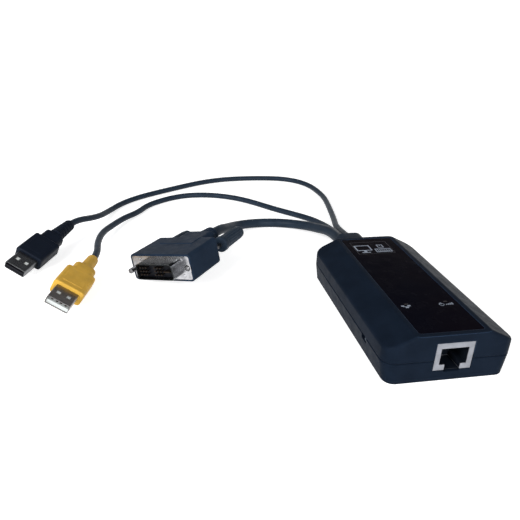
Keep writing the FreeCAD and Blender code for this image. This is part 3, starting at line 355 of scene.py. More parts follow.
@dataclass(frozen=True)
class Jacket:
    """A cord's extruded jacket: satin, with faint marks along its length."""

    name: str
    colour: Colour
    roughness: float = 0.42
    gloss: float = 0.5

    def build(self) -> bpy.types.Material:
        """Makes the material."""
        g = Graph(self.name)
        g.set(Specular_IOR_Level=self.gloss)
        dust = g.spread(g.noise(5 * MM, 5.0), 0.0, 1.0)
        g.join(g.mix(dust, lighter(self.colour, 0.9), lighter(self.colour, 1.15)), "Base Color")
        g.join(g.spread(g.noise(2.5 * MM, 3.0), self.roughness - 0.06, self.roughness + 0.08), "Roughness")
        ripple = g.bump(g.noise(1.6 * MM, 1.0), 0.02 * MM)
        g.join(g.bump(g.noise(0.2 * MM, 3.0), 0.008 * MM, ripple), "Normal")
        return g.material


@dataclass(frozen=True)
class Laminate:
    """A circuit board: solder mask with the tracks showing through."""

    name: str
    mask: Colour
    track: Colour

    def build(self) -> bpy.types.Material:
        """Makes the material."""
        g = Graph(self.name)
        brick = g.nodes.new("ShaderNodeTexBrick")
        brick.inputs["Scale"].default_value = 1.0 / (6 * MM)
        brick.inputs["Mortar Size"].default_value = 0.06
        brick.inputs["Color1"].default_value = (*self.mask, 1.0)
        brick.inputs["Color2"].default_value = (*lighter(self.mask, 0.8), 1.0)
        brick.inputs["Mortar"].default_value = (*self.track, 1.0)
        g.links.new(g.coords, brick.inputs["Vector"])
        haze = g.spread(g.noise(4 * MM, 3.0), 0.0, 0.25)
        g.join(g.mix(haze, brick.outputs["Color"], lighter(self.mask, 1.4)), "Base Color")
        g.join(g.spread(g.noise(1.5 * MM, 2.0), 0.25, 0.4), "Roughness")
        g.join(g.bump(brick.outputs["Fac"], 0.02 * MM), "Normal")
        return g.material


@dataclass(frozen=True)
class Resin:
    """Clear moulded resin, slightly frosted."""

    name: str
    colour: Colour
    clearness: float = 0.8

    def build(self) -> bpy.types.Material:
        """Makes the material."""
        g = Graph(self.name)
        g.set(Transmission_Weight=self.clearness, IOR=1.49)
        haze = g.spread(g.noise(1.2 * MM, 2.0), 0.0, 1.0)
        g.join(g.mix(haze, self.colour, lighter(self.colour, 0.9)), "Base Color")
        g.join(g.spread(g.noise(0.6 * MM, 2.0), 0.12, 0.3), "Roughness")
        g.join(g.bump(g.noise(0.4 * MM, 1.0), 0.01 * MM), "Normal")
        return g.material


class Finish(Enum):
    """Every finish on the adapter."""

    # The housing's edges above 13 mm carry a painted highlight, the colour lightened 4.6 times along the
    # top's ridges.
    HOUSING = Moulded(
        "housing_plastic", (0.0066, 0.0112, 0.0205), 0.36, 0.01, 0.3 * MM, 0.035 * MM,
        edge_highlight=4.6, edge=0.6 * MM, highlight_above=13 * MM,
    )
    LABEL = Film("label_film", (0.0022, 0.0024, 0.0055), (0.0036, 0.0026, 0.0048), 0.22, 0.008)
    INK = Ink("pale_ink", (0.26, 0.3, 0.37))
    FAINT_INK = Ink("faint_ink", (0.03, 0.03, 0.038))
    DARK_INK = Ink("dark_window", (0.012, 0.009, 0.009), 0.25)
    SCREW = Plated("zinc_screw", (0.36, 0.36, 0.37), 0.35)
    BOARD = Laminate("board_laminate", (0.004, 0.03, 0.02), (0.01, 0.06, 0.03))
    CHIP = Moulded("epoxy_black", (0.02, 0.02, 0.022), 0.55, 0.4, 0.2 * MM, 0.01 * MM)
    CAN = Plated("aluminium_can", (0.8, 0.8, 0.82), 0.3)
    FERRITE = Moulded("grey_ferrite", (0.1, 0.1, 0.105), 0.6, 0.4, 0.25 * MM, 0.02 * MM)
    CERAMIC = Moulded("tan_ceramic", (0.36, 0.29, 0.2), 0.5, 0.5, 0.2 * MM, 0.01 * MM)
    NYLON = Moulded("white_nylon", (0.78, 0.76, 0.7), 0.42, 0.5, 0.4 * MM, 0.01 * MM, edge_highlight=1.1)
    LENS = Resin("lamp_resin", (0.85, 0.93, 0.82), 0.5)
    PIPE = Resin("pipe_acrylic", (0.93, 0.96, 0.96), 0.95)
    SOCKET = Moulded("socket_plastic", (0.004, 0.006, 0.01), 0.45, 0.15, 0.3 * MM, 0.01 * MM)
    SHIELD = Plated("nickel_sheet", (0.29, 0.3, 0.33), 0.55, (1.0, 0.25, 1.0))
    BRIGHT_SHELL = Plated("bright_nickel", (0.5, 0.5, 0.52), 0.2, (1.0, 0.3, 1.0), tarnish=0.7)
    # Painted dark reflection: a near-black copy of the nickel for the DVI collar.
    COLLAR_PAINTED_DARK = Plated("collar_nickel_painted_dark", (0.032, 0.036, 0.038), 0.2, (1.0, 0.3, 1.0), tarnish=0.6)
    # Darker nickel: the black USB shell's own colour, and painted shade on the DVI collar's faces turned
    # to +x.
    DULL_NICKEL_AND_SHADE = Plated("dull_nickel_and_painted_shade", (0.17, 0.175, 0.185), 0.3, (1.0, 0.3, 1.0), tarnish=0.75)
    TIN_SHELL = Plated("tinned_shell", (0.25, 0.235, 0.235), 0.33, (1.0, 0.3, 1.0), tarnish=0.8)
    GOLD = Plated("gold_flash", (0.13, 0.085, 0.06), 0.5)
    # Painted shade: the pins' plating is darkened for the shade inside the DVI shell.
    PIN = Plated("pins_painted_shade", (0.035, 0.027, 0.022), 0.5)
    KNOB = Moulded("knob_plastic", (0.019, 0.03, 0.047), 0.42, 0.07)
    GROMMET = Moulded("grommet_rubber", (0.0105, 0.0175, 0.029), 0.48, 0.06, 0.4 * MM, 0.03 * MM)
    CORD = Jacket("cord_jacket", (0.015, 0.025, 0.04), 0.4, 0.09)
    WIRE = Jacket("wire_insulation", (0.42, 0.05, 0.04), 0.35)
    PLUG = Moulded("plug_moulding", (0.0145, 0.0245, 0.043), 0.42, 0.014, 0.3 * MM, 0.03 * MM)
    DARK_PLUG = Moulded("dark_moulding", (0.0062, 0.0095, 0.0175), 0.42, 0.07, 0.3 * MM, 0.03 * MM)
    YELLOW = Moulded("yellow_moulding", (0.61, 0.36, 0.055), 0.5, 0.15, 0.4 * MM, 0.03 * MM, edge_highlight=1.15)
    CORE = Moulded("core_black", (0.004, 0.0045, 0.007), 0.4, 0.12, 0.3 * MM, 0.01 * MM)
    IVORY = Moulded("core_ivory", (0.55, 0.58, 0.57), 0.4, 0.3, 0.3 * MM, 0.01 * MM, edge_highlight=1.1)
    CLIP = Plated("spring_steel", (0.5, 0.5, 0.52), 0.3)
    SHANK = Plated("screw_steel", (0.175, 0.175, 0.182), 0.25)


class Wardrobe:
    """Builds each finish once and puts it on pieces."""

    def __init__(self) -> None:
        """Starts with no finish made."""
        self._made: Dict[Finish, bpy.types.Material] = {}

    def material(self, finish: Finish) -> bpy.types.Material:
        """The finish's material, made at its first use."""
        if finish not in self._made:
            self._made[finish] = finish.value.build()
        return self._made[finish]

    def dress(self, piece: bpy.types.Object, *finishes: Finish) -> None:
        """Gives a piece its finishes, one for each material slot.

        Args:
            piece: The object.
            *finishes: The finishes, in the order of the face material index.
        """
        piece.data.materials.clear()
        for finish in finishes:
            piece.data.materials.append(self.material(finish))


WARDROBE = Wardrobe()


def in_scene(name: str, data: bpy.types.ID) -> bpy.types.Object:
    """Puts an object with this data into the scene."""
    item = bpy.data.objects.new(name, data)
    bpy.context.scene.collection.objects.link(item)
    return item


# ---------------------------------------------------------------- meshes
def in_order(mesh: bmesh.types.BMesh) -> bmesh.types.BMesh:
    """Rebuilds a mesh in an order that only the places of its points decide.

    Rounding several rods in one mesh, and extruding, give the same shape in each run but can
    number its points and faces differently.

    Args:
        mesh: The shape, which is freed.

    Returns:
        The same shape, in order.
    """
    verts = sorted(mesh.verts, key=lambda vert: vert.co[:])
    number = {vert: i for i, vert in enumerate(verts)}
    rings = []
    for face in mesh.faces:
        ring = [number[vert] for vert in face.verts]
        first = ring.index(min(ring))
        rings.append(ring[first:] + ring[:first])
    ordered = bmesh.new()
    points = [ordered.verts.new(vert.co) for vert in verts]
    for ring in sorted(rings):
        ordered.faces.new([points[i] for i in ring])
    mesh.free()
    return ordered


def new_piece(
    name: str, mesh: bmesh.types.BMesh, body: str, slot: str, *finishes: Finish
) -> bpy.types.Object:
    """Turns a finished bmesh into a piece that rides on a body.

    Args:
        name: The piece's name.
        mesh: The shape, which is freed.
        body: The body that it moves with.
        slot: The record's material slot; not used.
        *finishes: Its finishes.

    Returns:
        The piece.
    """
    data = bpy.data.meshes.new(name)
    mesh.to_mesh(data)
    mesh.free()
    piece = in_scene(name, data)
    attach(piece, body)
    WARDROBE.dress(piece, *finishes)
    log.info("%s: %d faces on %s", name, len(data.polygons), body)
    return piece


def soften(piece: bpy.types.Object, sharp: float = 32.0) -> None:
    """Shades a piece smooth, with its flat faces flat and its sharp edges sharp.

    Args:
        piece: The object.
        sharp: The angle, in degrees, from which an edge stays sharp.
    """
    mesh = bmesh.new()
    mesh.from_mesh(piece.data)
    for edge in mesh.edges:
        edge.smooth = edge.calc_face_angle(math.pi) < math.radians(sharp)
    for face in mesh.faces:
        face.smooth = True
    mesh.to_mesh(piece.data)
    mesh.free()
    modifier = piece.modifiers.new("even_normals", "WEIGHTED_NORMAL")
    modifier.keep_sharp = True


def merged_copy(node: str) -> bmesh.types.BMesh:
    """A CAD node's surface with its triangles joined into whole faces.

    Args:
        node: The CAD node.

    Returns:
        The joined surface.
    """
    mesh = bmesh.new()
    mesh.from_mesh(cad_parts[node].data)
    bmesh.ops.remove_doubles(mesh, verts=mesh.verts, dist=0.0005 * MM)
    bmesh.ops.dissolve_limit(mesh, angle_limit=math.radians(0.3), verts=mesh.verts, edges=mesh.edges)
    return mesh


def smooth_node(node: str, body: str, slot: str, *finishes: Finish) -> bpy.types.Object:
    """Replaces a CAD node by its own shape, joined and evenly shaded.

    Args:
        node: The CAD node.
        body: The body that it rides on.
        slot: The record's material slot.
        *finishes: Its finishes.

    Returns:
        The piece.
    """
    piece = new_piece(node + "_skin", merged_copy(node), body, slot, *finishes)
    soften(piece)
    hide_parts(node)
    return piece


def dress_node(node: str, finish: Finish) -> None:
    """Gives a CAD node that stays as it is its finish."""
    WARDROBE.dress(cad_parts[node], finish)
    log.info("%s: CAD solid in %s", node, finish.value.name)


@dataclass
class Shaper:
    """Adds simple rounded solids, given in mm, to one mesh."""

    mesh: bmesh.types.BMesh = field(default_factory=bmesh.new)

    def round_off(self, edges: List[bmesh.types.BMEdge], rounding: float, segments: int) -> None:
        """Rounds edges.

        Args:
            edges: The edges.
            rounding: Their radius.
            segments: The steps round each edge.
        """
        bmesh.ops.bevel(
            self.mesh, geom=edges, offset=rounding * MM, offset_type="OFFSET", segments=segments,
            profile=0.5, affect="EDGES", clamp_overlap=True, material=-1,
        )

    def block(self, low: Point, high: Point, rounding: float = 0.0, segments: int = 2) -> None:
        """Adds a box.

        Args:
            low: Its lowest corner.
            high: Its highest corner.
            rounding: The radius of its edges.
            segments: The steps round each edge.
        """
        verts = bmesh.ops.create_cube(self.mesh, size=1.0)["verts"]
        bmesh.ops.scale(self.mesh, vec=[(h - b) * MM for b, h in zip(low, high)], verts=verts)
        bmesh.ops.translate(self.mesh, vec=[(h + b) / 2 * MM for b, h in zip(low, high)], verts=verts)
        if rounding:
            edges = list(dict.fromkeys(edge for vert in verts for edge in vert.link_edges))
            self.round_off(edges, rounding, segments)

    def rod(self, centre: Point, radius: float, height: float, axis: str = "Z", sides: int = 32,
            rounding: float = 0.0, end_radius: Optional[float] = None) -> None:
        """Adds a round rod or cone, centred on a point.

        Args:
            centre: Its middle.
            radius: Its radius at the lower end.
            height: Its length.
            axis: The axis that it lies along.
            sides: The faces round it.
            rounding: The radius of its end edges.
            end_radius: Its radius at the upper end, or None for the same.
        """
        top = radius if end_radius is None else end_radius
        verts = bmesh.ops.create_cone(
            self.mesh, cap_ends=True, segments=sides,
            radius1=radius * MM, radius2=top * MM, depth=height * MM,
        )["verts"]
        if axis == "Y":
            turn = Matrix.Rotation(math.radians(-90.0), 3, "X")
            bmesh.ops.rotate(self.mesh, cent=(0.0, 0.0, 0.0), matrix=turn, verts=verts)
        bmesh.ops.translate(self.mesh, vec=[v * MM for v in centre], verts=verts)
        if rounding:
            faces = dict.fromkeys(face for vert in verts for face in vert.link_faces)
            caps = [face for face in faces if len(face.verts) > 4]
            edges = list(dict.fromkeys(edge for face in caps for edge in face.edges))
            self.round_off(edges, rounding, 3)

    def frame(self, low: Point, high: Point, bar: float, rounding: float = 0.0) -> None:
        """Adds a flat rectangular frame of four bars, which meet at the corners.

        Args:
            low: Its lowest corner.
            high: Its highest corner.
            bar: How wide its bars are.
            rounding: The radius of the bars' edges.
        """
        (x0, y0, z0), (x1, y1, z1) = low, high
        self.block((x0, y0, z0), (x1, y0 + bar, z1), rounding)
        self.block((x0, y1 - bar, z0), (x1, y1, z1), rounding)
        self.block((x0, y0 + bar, z0), (x0 + bar, y1 - bar, z1), rounding)
        self.block((x1 - bar, y0 + bar, z0), (x1, y1 - bar, z1), rounding)

    def moved(self, place: Matrix) -> bmesh.types.BMesh:
        """The mesh, turned and moved to where it belongs, and put in order."""
        bmesh.ops.transform(self.mesh, matrix=place, verts=self.mesh.verts)
        self.mesh = in_order(self.mesh)
        return self.mesh


# ---------------------------------------------------------------- places
@dataclass(frozen=True)
class PlugPlace:
    """Where a plug lies: its front's middle, its heading, roll and tip."""

    front: Point
    heading: float
    roll: float
    tip: float

    def matrix(self) -> Matrix:
        """The turn and move from the plug's own frame to the row frame."""
        turn = Matrix.Rotation(math.radians(-self.heading), 4, "Z")
        turn = turn @ Matrix.Rotation(math.radians(self.tip), 4, "X")
        turn = turn @ Matrix.Rotation(math.radians(-self.roll), 4, "Y")
        return Matrix.Translation([v * MM for v in self.front]) @ turn

    def behind(self, distance: float) -> Vector:
        """A point on the plug's centre line, a distance in mm behind its front."""
        return self.matrix() @ Vector((0.0, distance * MM, 0.0))


DVI_PLACE = PlugPlace((-111.9, 44.9, 11.5), 37.4, 13.2, 0.0)
BLACK_PLACE = PlugPlace((-190.4, 64.1, 5.8), 24.7, -26.6, 4.9)
YELLOW_PLACE = PlugPlace((-161.2, 19.6, 8.0), 12.8, -29.9, -1.9)


# ---------------------------------------------------------------- cords
@dataclass
class FreeCord:
    """One cord: its route, in mm or behind its plug, and what it carries."""

    name: str
    route: List[object]
    diameter: float
    length: float
    stiffness: str
    carries: List[str]

    @staticmethod
    def position(place: object) -> Vector:
        """A route's point in metres, from mm or from a distance behind a plug's front."""
        if isinstance(place[0], PlugPlace):
            return place[0].behind(place[1])
        return Vector([v * MM for v in place])

    def build(self) -> bpy.types.Object:
        """Lays the cord along its route.

        Returns:
            The cord's curve.
        """
        curve = bpy.data.curves.new(self.name + "_line", "CURVE")
        curve.dimensions = "3D"
        spline = curve.splines.new("NURBS")
        spline.points.add(len(self.route) - 1)
        for control, place in zip(spline.points, self.route):
            control.co = (*self.position(place), 1.0)
            control.radius = self.diameter * MM / 2
        spline.order_u = 3
        spline.use_endpoint_u = True
        spline.resolution_u = 12
        curve.bevel_depth = 1.0
        curve.bevel_resolution = 8
        curve.use_fill_caps = True
        piece = in_scene(self.name + "_line", curve)
        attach(piece, "housing")
        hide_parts(self.name)
        WARDROBE.dress(piece, Finish.CORD)
        tuple(self.position(self.route[0]))
        log.info("%s: %d control points", self.name, len(self.route))
        return piece


CORDS = [
    FreeCord(
        "dvi_cord",
        [
            (-5.6, 68.0, 11.0), (-5.6, 76.0, 11.0), (-7.4, 86.0, 10.4), (-10.7, 95.5, 8.2),
            (-15.0, 105.7, 5.9), (-21.6, 113.5, 4.3), (-29.4, 118.6, 3.4), (-38.4, 120.9, 3.1),
            (-47.6, 120.0, 3.5), (-56.1, 116.3, 4.5), (-63.5, 110.3, 6.1), (-69.3, 101.7, 8.5),
            (-74.85, 93.36, 11.5), (-80.32, 86.21, 11.5),
        ],
        6.0, 126.0, "medium",
        [
            "dvi_hood_skin", "dvi_shell_skin", "dvi_core", "dvi_pins", "dvi_blade",
            "left_thumbscrew_skin", "right_thumbscrew_skin", "left_screw_clip", "right_screw_clip",
            "flange_rivets",
            "left_knob_grip", "right_knob_grip", "hood_saddles", "cable_grommet_skin",
        ],
    ),
    FreeCord(
        "yellow_usb_cord",
        [
            (-0.9, 68.0, 9.0), (-0.9, 76.0, 9.0), (-0.9, 95.5, 6.4), (-2.3, 110.4, 4.4),
            (-5.9, 123.6, 2.9), (-12.9, 134.7, 2.1), (-21.1, 143.2, 2.05), (-30.1, 153.2, 2.05),
            (-40.5, 166.2, 2.05), (-51.5, 176.4, 2.1), (-64.7, 184.0, 2.05), (-78.6, 187.3, 2.05),
            (-91.3, 186.4, 2.1), (-103.9, 181.1, 2.05), (-119.3, 168.4, 2.05), (-126.1, 153.7, 2.1),
            (-135.5, 141.0, 3.1), (-142.4, 126.9, 3.7), (-147.9, 112.3, 4.9), (-149.4, 95.7, 5.5),
            (YELLOW_PLACE, 60.2), (YELLOW_PLACE, 51.2),
        ],
        4.0, 306.0, "limp",
        [
            "yellow_usb_plug_skin", "yellow_usb_shell_skin", "yellow_usb_core", "yellow_usb_contacts",
            "yellow_finger_pads", "yellow_window_pads",
        ],
    ),
    FreeCord(
        "black_usb_cord",
        [
            (3.5, 68.0, 9.0), (3.5, 75.0, 9.0), (4.9, 103.8, 4.7), (8.9, 119.4, 3.4),
            (12.5, 136.2, 2.6), (15.5, 152.8, 2.1), (18.0, 169.4, 2.05), (17.5, 185.0, 2.1),
            (15.2, 200.6, 2.05), (8.7, 213.4, 2.05), (-3.7, 222.6, 2.1), (-20.9, 226.2, 2.05),
            (-40.1, 226.9, 2.1), (-58.1, 225.2, 2.05), (-75.9, 218.8, 2.05), (-93.2, 208.4, 2.1),
            (-107.8, 199.4, 2.05), (-120.6, 190.8, 2.05), (-131.7, 181.6, 2.1), (-140.7, 170.4, 2.1),
            (-147.1, 156.3, 2.7), (-153.0, 139.2, 5.3),
            (BLACK_PLACE, 61.7), (BLACK_PLACE, 55.2),
        ],
        4.0, 380.0, "limp",
        [
            "black_usb_plug_skin", "black_usb_shell_skin", "black_usb_core", "black_usb_contacts",
            "black_finger_pads", "black_window_pads", "black_relief_rings",
        ],
    ),
]


# ---------------------------------------------------------------- studio
@dataclass
class Studio:
    """The floor, the lights, the world and the camera."""

    eye: Point = (-112.45, -200.81, 135.71)
    heading: float = 9.47
    dip: float = 24.37
    tilt: float = 1.06
    focal_share: float = 517.22 / 520
    shift: Tuple[float, float] = (0.0431, -0.0303)
    floor_radius: float = 2600.0
    wall_height: float = 900.0
    near_glow: float = 0.66
    far_glow: float = 1.0
    near_edge: float = 0.3
    far_edge: float = 0.9
    sky: float = 0.2
    aim: Point = (-70.0, 60.0, 0.0)
    lamps: Tuple[Tuple[str, Point, float, float], ...] = (
        ("left_softbox", (-650.0, -330.0, 400.0), 420.0, 6.0),
        ("front_softbox", (120.0, -740.0, 330.0), 380.0, 5.0),
    )

    def place_camera(self) -> None:
        """Makes the scene's camera."""
        data = bpy.data.cameras.new("studio_camera")
        data.sensor_width = 36.0
        data.lens = 36.0 * self.focal_share
        data.shift_x, data.shift_y = self.shift
        data.clip_start = 0.01
        data.clip_end = 50.0
        camera = in_scene("studio_camera", data)
        turn = Matrix.Rotation(math.radians(-self.heading), 4, "Z")
        turn = turn @ Matrix.Rotation(math.radians(90.0 - self.dip), 4, "X")
        turn = turn @ Matrix.Rotation(math.radians(self.tilt), 4, "Z")
        camera.matrix_world = Matrix.Translation([v * MM for v in self.eye]) @ turn
        bpy.context.scene.camera = camera

    def lay_floor(self) -> None:
        """Lays the pale round floor and its low wall, white to the eye, with the shadows kept."""
        mesh = bmesh.new()
        bmesh.ops.create_circle(mesh, cap_ends=True, segments=96, radius=self.floor_radius * MM)
        edges = [edge for edge in mesh.edges if edge.is_boundary]
        wall = bmesh.ops.extrude_edge_only(mesh, edges=edges)["geom"]
        rim = [v for v in wall if isinstance(v, bmesh.types.BMVert)]
        bmesh.ops.translate(mesh, vec=(0.0, 0.0, self.wall_height * MM), verts=rim)
        mesh = in_order(mesh)
        data = bpy.data.meshes.new("studio_floor")
        mesh.to_mesh(data)
        mesh.free()
        floor = in_scene("studio_floor", data)
        floor.location.z = -0.05 * MM
        graph = Graph("pale_floor")
        graph.set(Base_Color=(0.9, 0.9, 0.9, 1.0), Roughness=0.9, Specular_IOR_Level=0.1)
        graph.set(Emission_Color=(1.0, 1.0, 1.0, 1.0))
        path = graph.nodes.new("ShaderNodeLightPath")
        seen = graph.combine("MAXIMUM", path.outputs["Is Camera Ray"], path.outputs["Is Glossy Ray"])
        seen = graph.combine("MAXIMUM", seen, path.outputs["Is Transmission Ray"])
        away = graph.nodes.new("ShaderNodeVectorMath")
        away.operation = "LENGTH"
        graph.links.new(graph.coords, away.inputs[0])
        distance = away.outputs["Value"]
        glow = graph.spread(distance, self.near_glow, self.far_glow, self.near_edge, self.far_edge)
        graph.join(graph.combine("MULTIPLY", seen, glow), "Emission Strength")
        data.materials.append(graph.material)

    def light(self) -> None:
        """Sets the world and two large soft lamps."""
        world = bpy.data.worlds.new("studio_world")
        bpy.context.scene.world = world
        world.use_nodes = True
        soft = world.node_tree.nodes["Background"]
        soft.inputs["Color"].default_value = (0.95, 0.97, 1.0, 1.0)
        soft.inputs["Strength"].default_value = self.sky
        for lamp in self.lamps:
            self.lamp(*lamp)

    def lamp(self, name: str, place: Point, size: float, power: float) -> None:
        """Hangs a square soft lamp that faces the adapter.

        Args:
            name: The lamp's name.
            place: Its middle, in mm.
            size: Its side, in mm.
            power: Its power, in watts.
        """
        data = bpy.data.lights.new(name, "AREA")
        data.size = size * MM
        data.energy = power
        lamp = in_scene(name, data)
        lamp.location = [v * MM for v in place]
        towards = Vector([v * MM for v in self.aim]) - lamp.location
        lamp.rotation_euler = towards.to_track_quat("-Z", "Y").to_euler()

    def build(self) -> None:
        """Sets up the whole studio."""
        self.place_camera()
        self.lay_floor()
        self.light()
        bpy.context.scene.view_settings.view_transform = "Standard"


# ---------------------------------------------------------------- assemblies
@dataclass
class Housing:
    """The two shells, the label, the screws and the rear boss."""

    shells: Tuple[str, ...] = ("top_cover", "bottom_cover")
    ink_depth: float = 0.015
    lamp_x: float = 9.0
    lamp_y: float = -23.3
    window_half_size: Tuple[float, float] = (0.9, 0.35)
    link_boxes: Tuple[Tuple[float, float, float, float], ...] = (
        (-11.9, -25.0, -10.5, -24.2),
        (-9.1, -25.0, -7.7, -24.2),
        (-10.5, -26.4, -9.1, -25.6),
        (-11.3, -25.4, -8.3, -25.15),
        (-9.95, -25.6, -9.65, -25.2),
    )
    ring_centre: Tuple[float, float] = (6.2, -25.4)
    ring_dots: int = 16
    bars: int = 4
    mark_corner: Tuple[float, float] = (-10.2, 27.8)

    def label_level(self) -> float:
        """How high the label's face is, in mm."""
        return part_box("top_label")[1][2] / MM

    def symbols(self) -> None:
        """Prints the plain symbols beside the lamps and the dark lamp windows."""
        z0 = self.label_level()
        z1 = z0 + self.ink_depth
        ink = Shaper()
        for x0, y0, x1, y1 in self.link_boxes:
            ink.block((x0, y0, z0), (x1, y1, z1))
        # An open ring with a stroke, and four rising bars, for the supply.
        x, y = self.ring_centre
        for i in range(self.ring_dots):
            turn = math.radians(115.0 + i * 310.0 / (self.ring_dots - 1))
            dot = (x + math.cos(turn), y + math.sin(turn), (z0 + z1) / 2)
            ink.rod(dot, 0.17, self.ink_depth, sides=8)
        ink.block((6.05, -25.3, z0), (6.35, -24.1, z1))
        for i in range(self.bars):
            ink.block((8.0 + i * 0.95, -26.1, z0), (8.6 + i * 0.95, -25.5 + i * 0.3, z1))
        new_piece("label_symbols", ink.mesh, "housing", "label_film", Finish.INK)
        windows = Shaper()
        across, along = self.window_half_size
        for side in (-1, 1):
            windows.block(
                (side * self.lamp_x - across, self.lamp_y - along, z0),
                (side * self.lamp_x + across, self.lamp_y + along, z1),
            )
        new_piece("lamp_windows", windows.mesh, "housing", "label_film", Finish.DARK_INK)

    def mark(self) -> None:
        """Prints a plain monitor, keyboard and pointer at the rear of the label."""
        z0 = self.label_level()
        z1 = z0 + self.ink_depth
        x, y = self.mark_corner
        ink = Shaper()
        ink.frame((x, y + 3.0, z0), (x + 8.4, y + 9.4, z1), 0.7)
        ink.block((x + 3.4, y + 1.2, z0), (x + 5.0, y + 3.0, z1))
        ink.block((x + 1.9, y + 0.5, z0), (x + 6.5, y + 1.2, z1))
        ink.frame((x + 9.8, y + 0.5, z0), (x + 18.6, y + 4.6, z1), 0.5)
        for row in range(3):
            for key in range(6):
                if row == 0 and 0 < key < 5:
                    continue
                ink.block(
                    (x + 10.9 + key * 1.2, y + 1.25 + row, z0), (x + 11.6 + key * 1.2, y + 1.75 + row, z1)
                )
        ink.block((x + 11.5, y + 1.25, z0), (x + 16.9, y + 1.75, z1))
        ink.frame((x + 12.6, y + 5.8, z0), (x + 15.9, y + 9.4, z1), 0.5)
        ink.block((x + 14.1, y + 7.6, z0), (x + 14.4, y + 9.0, z1))
        new_piece("label_mark", ink.mesh, "housing", "label_film", Finish.INK)
        rule = Shaper()
        rule.frame((x - 0.6, y - 0.9, z0), (x + 19.4, y + 13.4, z1), 0.18)
        new_piece("label_rule", rule.mesh, "housing", "label_film", Finish.FAINT_INK)

    def build(self) -> None:
        """Dresses the shells and what is fixed to them."""
        for shell in self.shells:
            smooth_node(shell, "housing", "housing_plastic", Finish.HOUSING)
        smooth_node("cable_grommet", "housing", "grommet_rubber", Finish.GROMMET)
        smooth_node("top_label", "housing", "label_film", Finish.LABEL)
        smooth_node("cover_screws", "housing", "screw_steel", Finish.SCREW)
        self.symbols()
        self.mark()


@dataclass
class Board:
    """The circuit board and what stands on it."""

    finishes: Dict[str, Finish] = field(
        default_factory=lambda: {
            "main_board": Finish.BOARD,
            "main_chip": Finish.CHIP,
            "lan_transformer": Finish.CHIP,
            "memory_chips": Finish.CHIP,
            "regulator": Finish.CHIP,
            "crystals": Finish.CAN,
            "capacitors": Finish.CAN,
            "power_coils": Finish.FERRITE,
            "small_parts": Finish.CERAMIC,
            "wire_headers": Finish.NYLON,
            "wire_plugs": Finish.NYLON,
            "link_lamp": Finish.LENS,
            "power_lamp": Finish.LENS,
            "light_pipes": Finish.PIPE,
            "dvi_wires": Finish.WIRE,
            "yellow_usb_wires": Finish.WIRE,
            "black_usb_wires": Finish.WIRE,
            "socket_insulator": Finish.SOCKET,
            "socket_shield": Finish.SHIELD,
            "socket_contacts": Finish.GOLD,
            "switch_body": Finish.SOCKET,
            "switch_knob": Finish.KNOB,
        }
    )

    floor_low: Point = (-6.5, -47.3, 5.2)
    floor_high: Point = (9.1, -27.6, 5.42)

    def socket_floor(self) -> None:
        """Lines the board under the network socket with the socket's dark plastic."""
        floor = Shaper()
        floor.block(self.floor_low, self.floor_high, 0.03)
        new_piece("socket_floor", floor.mesh, "housing", "socket_plastic", Finish.SOCKET)

    def build(self) -> None:
        """Dresses the solids on the board."""
        for node, finish in self.finishes.items():
            dress_node(node, finish)
        self.socket_floor()


@dataclass
class UsbPlug:
    """One USB plug at the end of its cord."""

    colour: str
    place: PlugPlace
    moulding: Finish
    metal: Finish
    core: Finish
    slots: Tuple[str, str]
    shell_half_height: float = 2.25
    body_half_height: float = 4.1
    body_start: float = 11.7
    window_x: float = 2.65
    window_from_mouth: float = 6.0
    rings: int = 0
    ring_start: float = 39.8
    ring_pitch: float = 2.75
    ring_radius: float = 4.35
    ring_length: float = 1.9
    ring_taper: float = 0.17
    pad_half_width: float = 5.4
    pad_from_body: Tuple[float, float] = (3.4, 14.4)
    pad_rise: float = 0.14
    window_pad_half: Tuple[float, float] = (1.25, 1.5)

    def add(self, suffix: str, shape: Shaper, slot: str, finish: Finish) -> bpy.types.Object:
        """Puts a shape, drawn in the plug's own frame, on the plug.

        Args:
            suffix: The piece's name after the plug's colour.
            shape: The shape.
            slot: The record's material slot.
            finish: Its finish.

        Returns:
            The piece.
        """
        mesh = shape.moved(self.place.matrix())
        return new_piece(self.colour + suffix, mesh, "housing", slot, finish)

    def finger_pads(self) -> None:
        """Raises a shallow pad on the top and the bottom of the grip."""
        pads = Shaper()
        front, back = (self.body_start + distance for distance in self.pad_from_body)
        for side in (-1, 1):
            level = side * self.body_half_height
            pads.block(
                (-self.pad_half_width, front, level - self.pad_rise),
                (self.pad_half_width, back, level + self.pad_rise), 0.13, 3,
            )
        soften(self.add("_finger_pads", pads, self.slots[0], self.moulding))

    def relief_rings(self) -> None:
        """Adds the ribs of the bend relief, which get smaller towards the cord."""
        rings = Shaper()
        for i in range(self.rings):
            middle = (0.0, self.ring_start + self.ring_pitch * i, 0.0)
            rings.rod(middle, self.ring_radius - self.ring_taper * i, self.ring_length, "Y", 36, 0.35)
        soften(self.add("_relief_rings", rings, self.slots[0], self.moulding))

    def window_pads(self) -> None:
        """Puts the pale springs under the two windows of the metal shell."""
        pads = Shaper()
        level = self.shell_half_height - 0.3
        across, along = self.window_pad_half
        y = self.window_from_mouth
        for side in (-1, 1):
            x = side * self.window_x
            pads.block((x - across, y - along, level - 0.2), (x + across, y + along, level - 0.02), 0.05)
        self.add("_window_pads", pads, "core_ivory", Finish.IVORY)

    def build(self) -> None:
        """Dresses the plug's four solids and adds the pads."""
        smooth_node(self.colour + "_usb_plug", "housing", self.slots[0], self.moulding)
        smooth_node(self.colour + "_usb_shell", "housing", "shield_metal", self.metal)
        dress_node(self.colour + "_usb_core", self.core)
        dress_node(self.colour + "_usb_contacts", Finish.GOLD)
        self.finger_pads()
        self.window_pads()
        if self.rings:
            self.relief_rings()


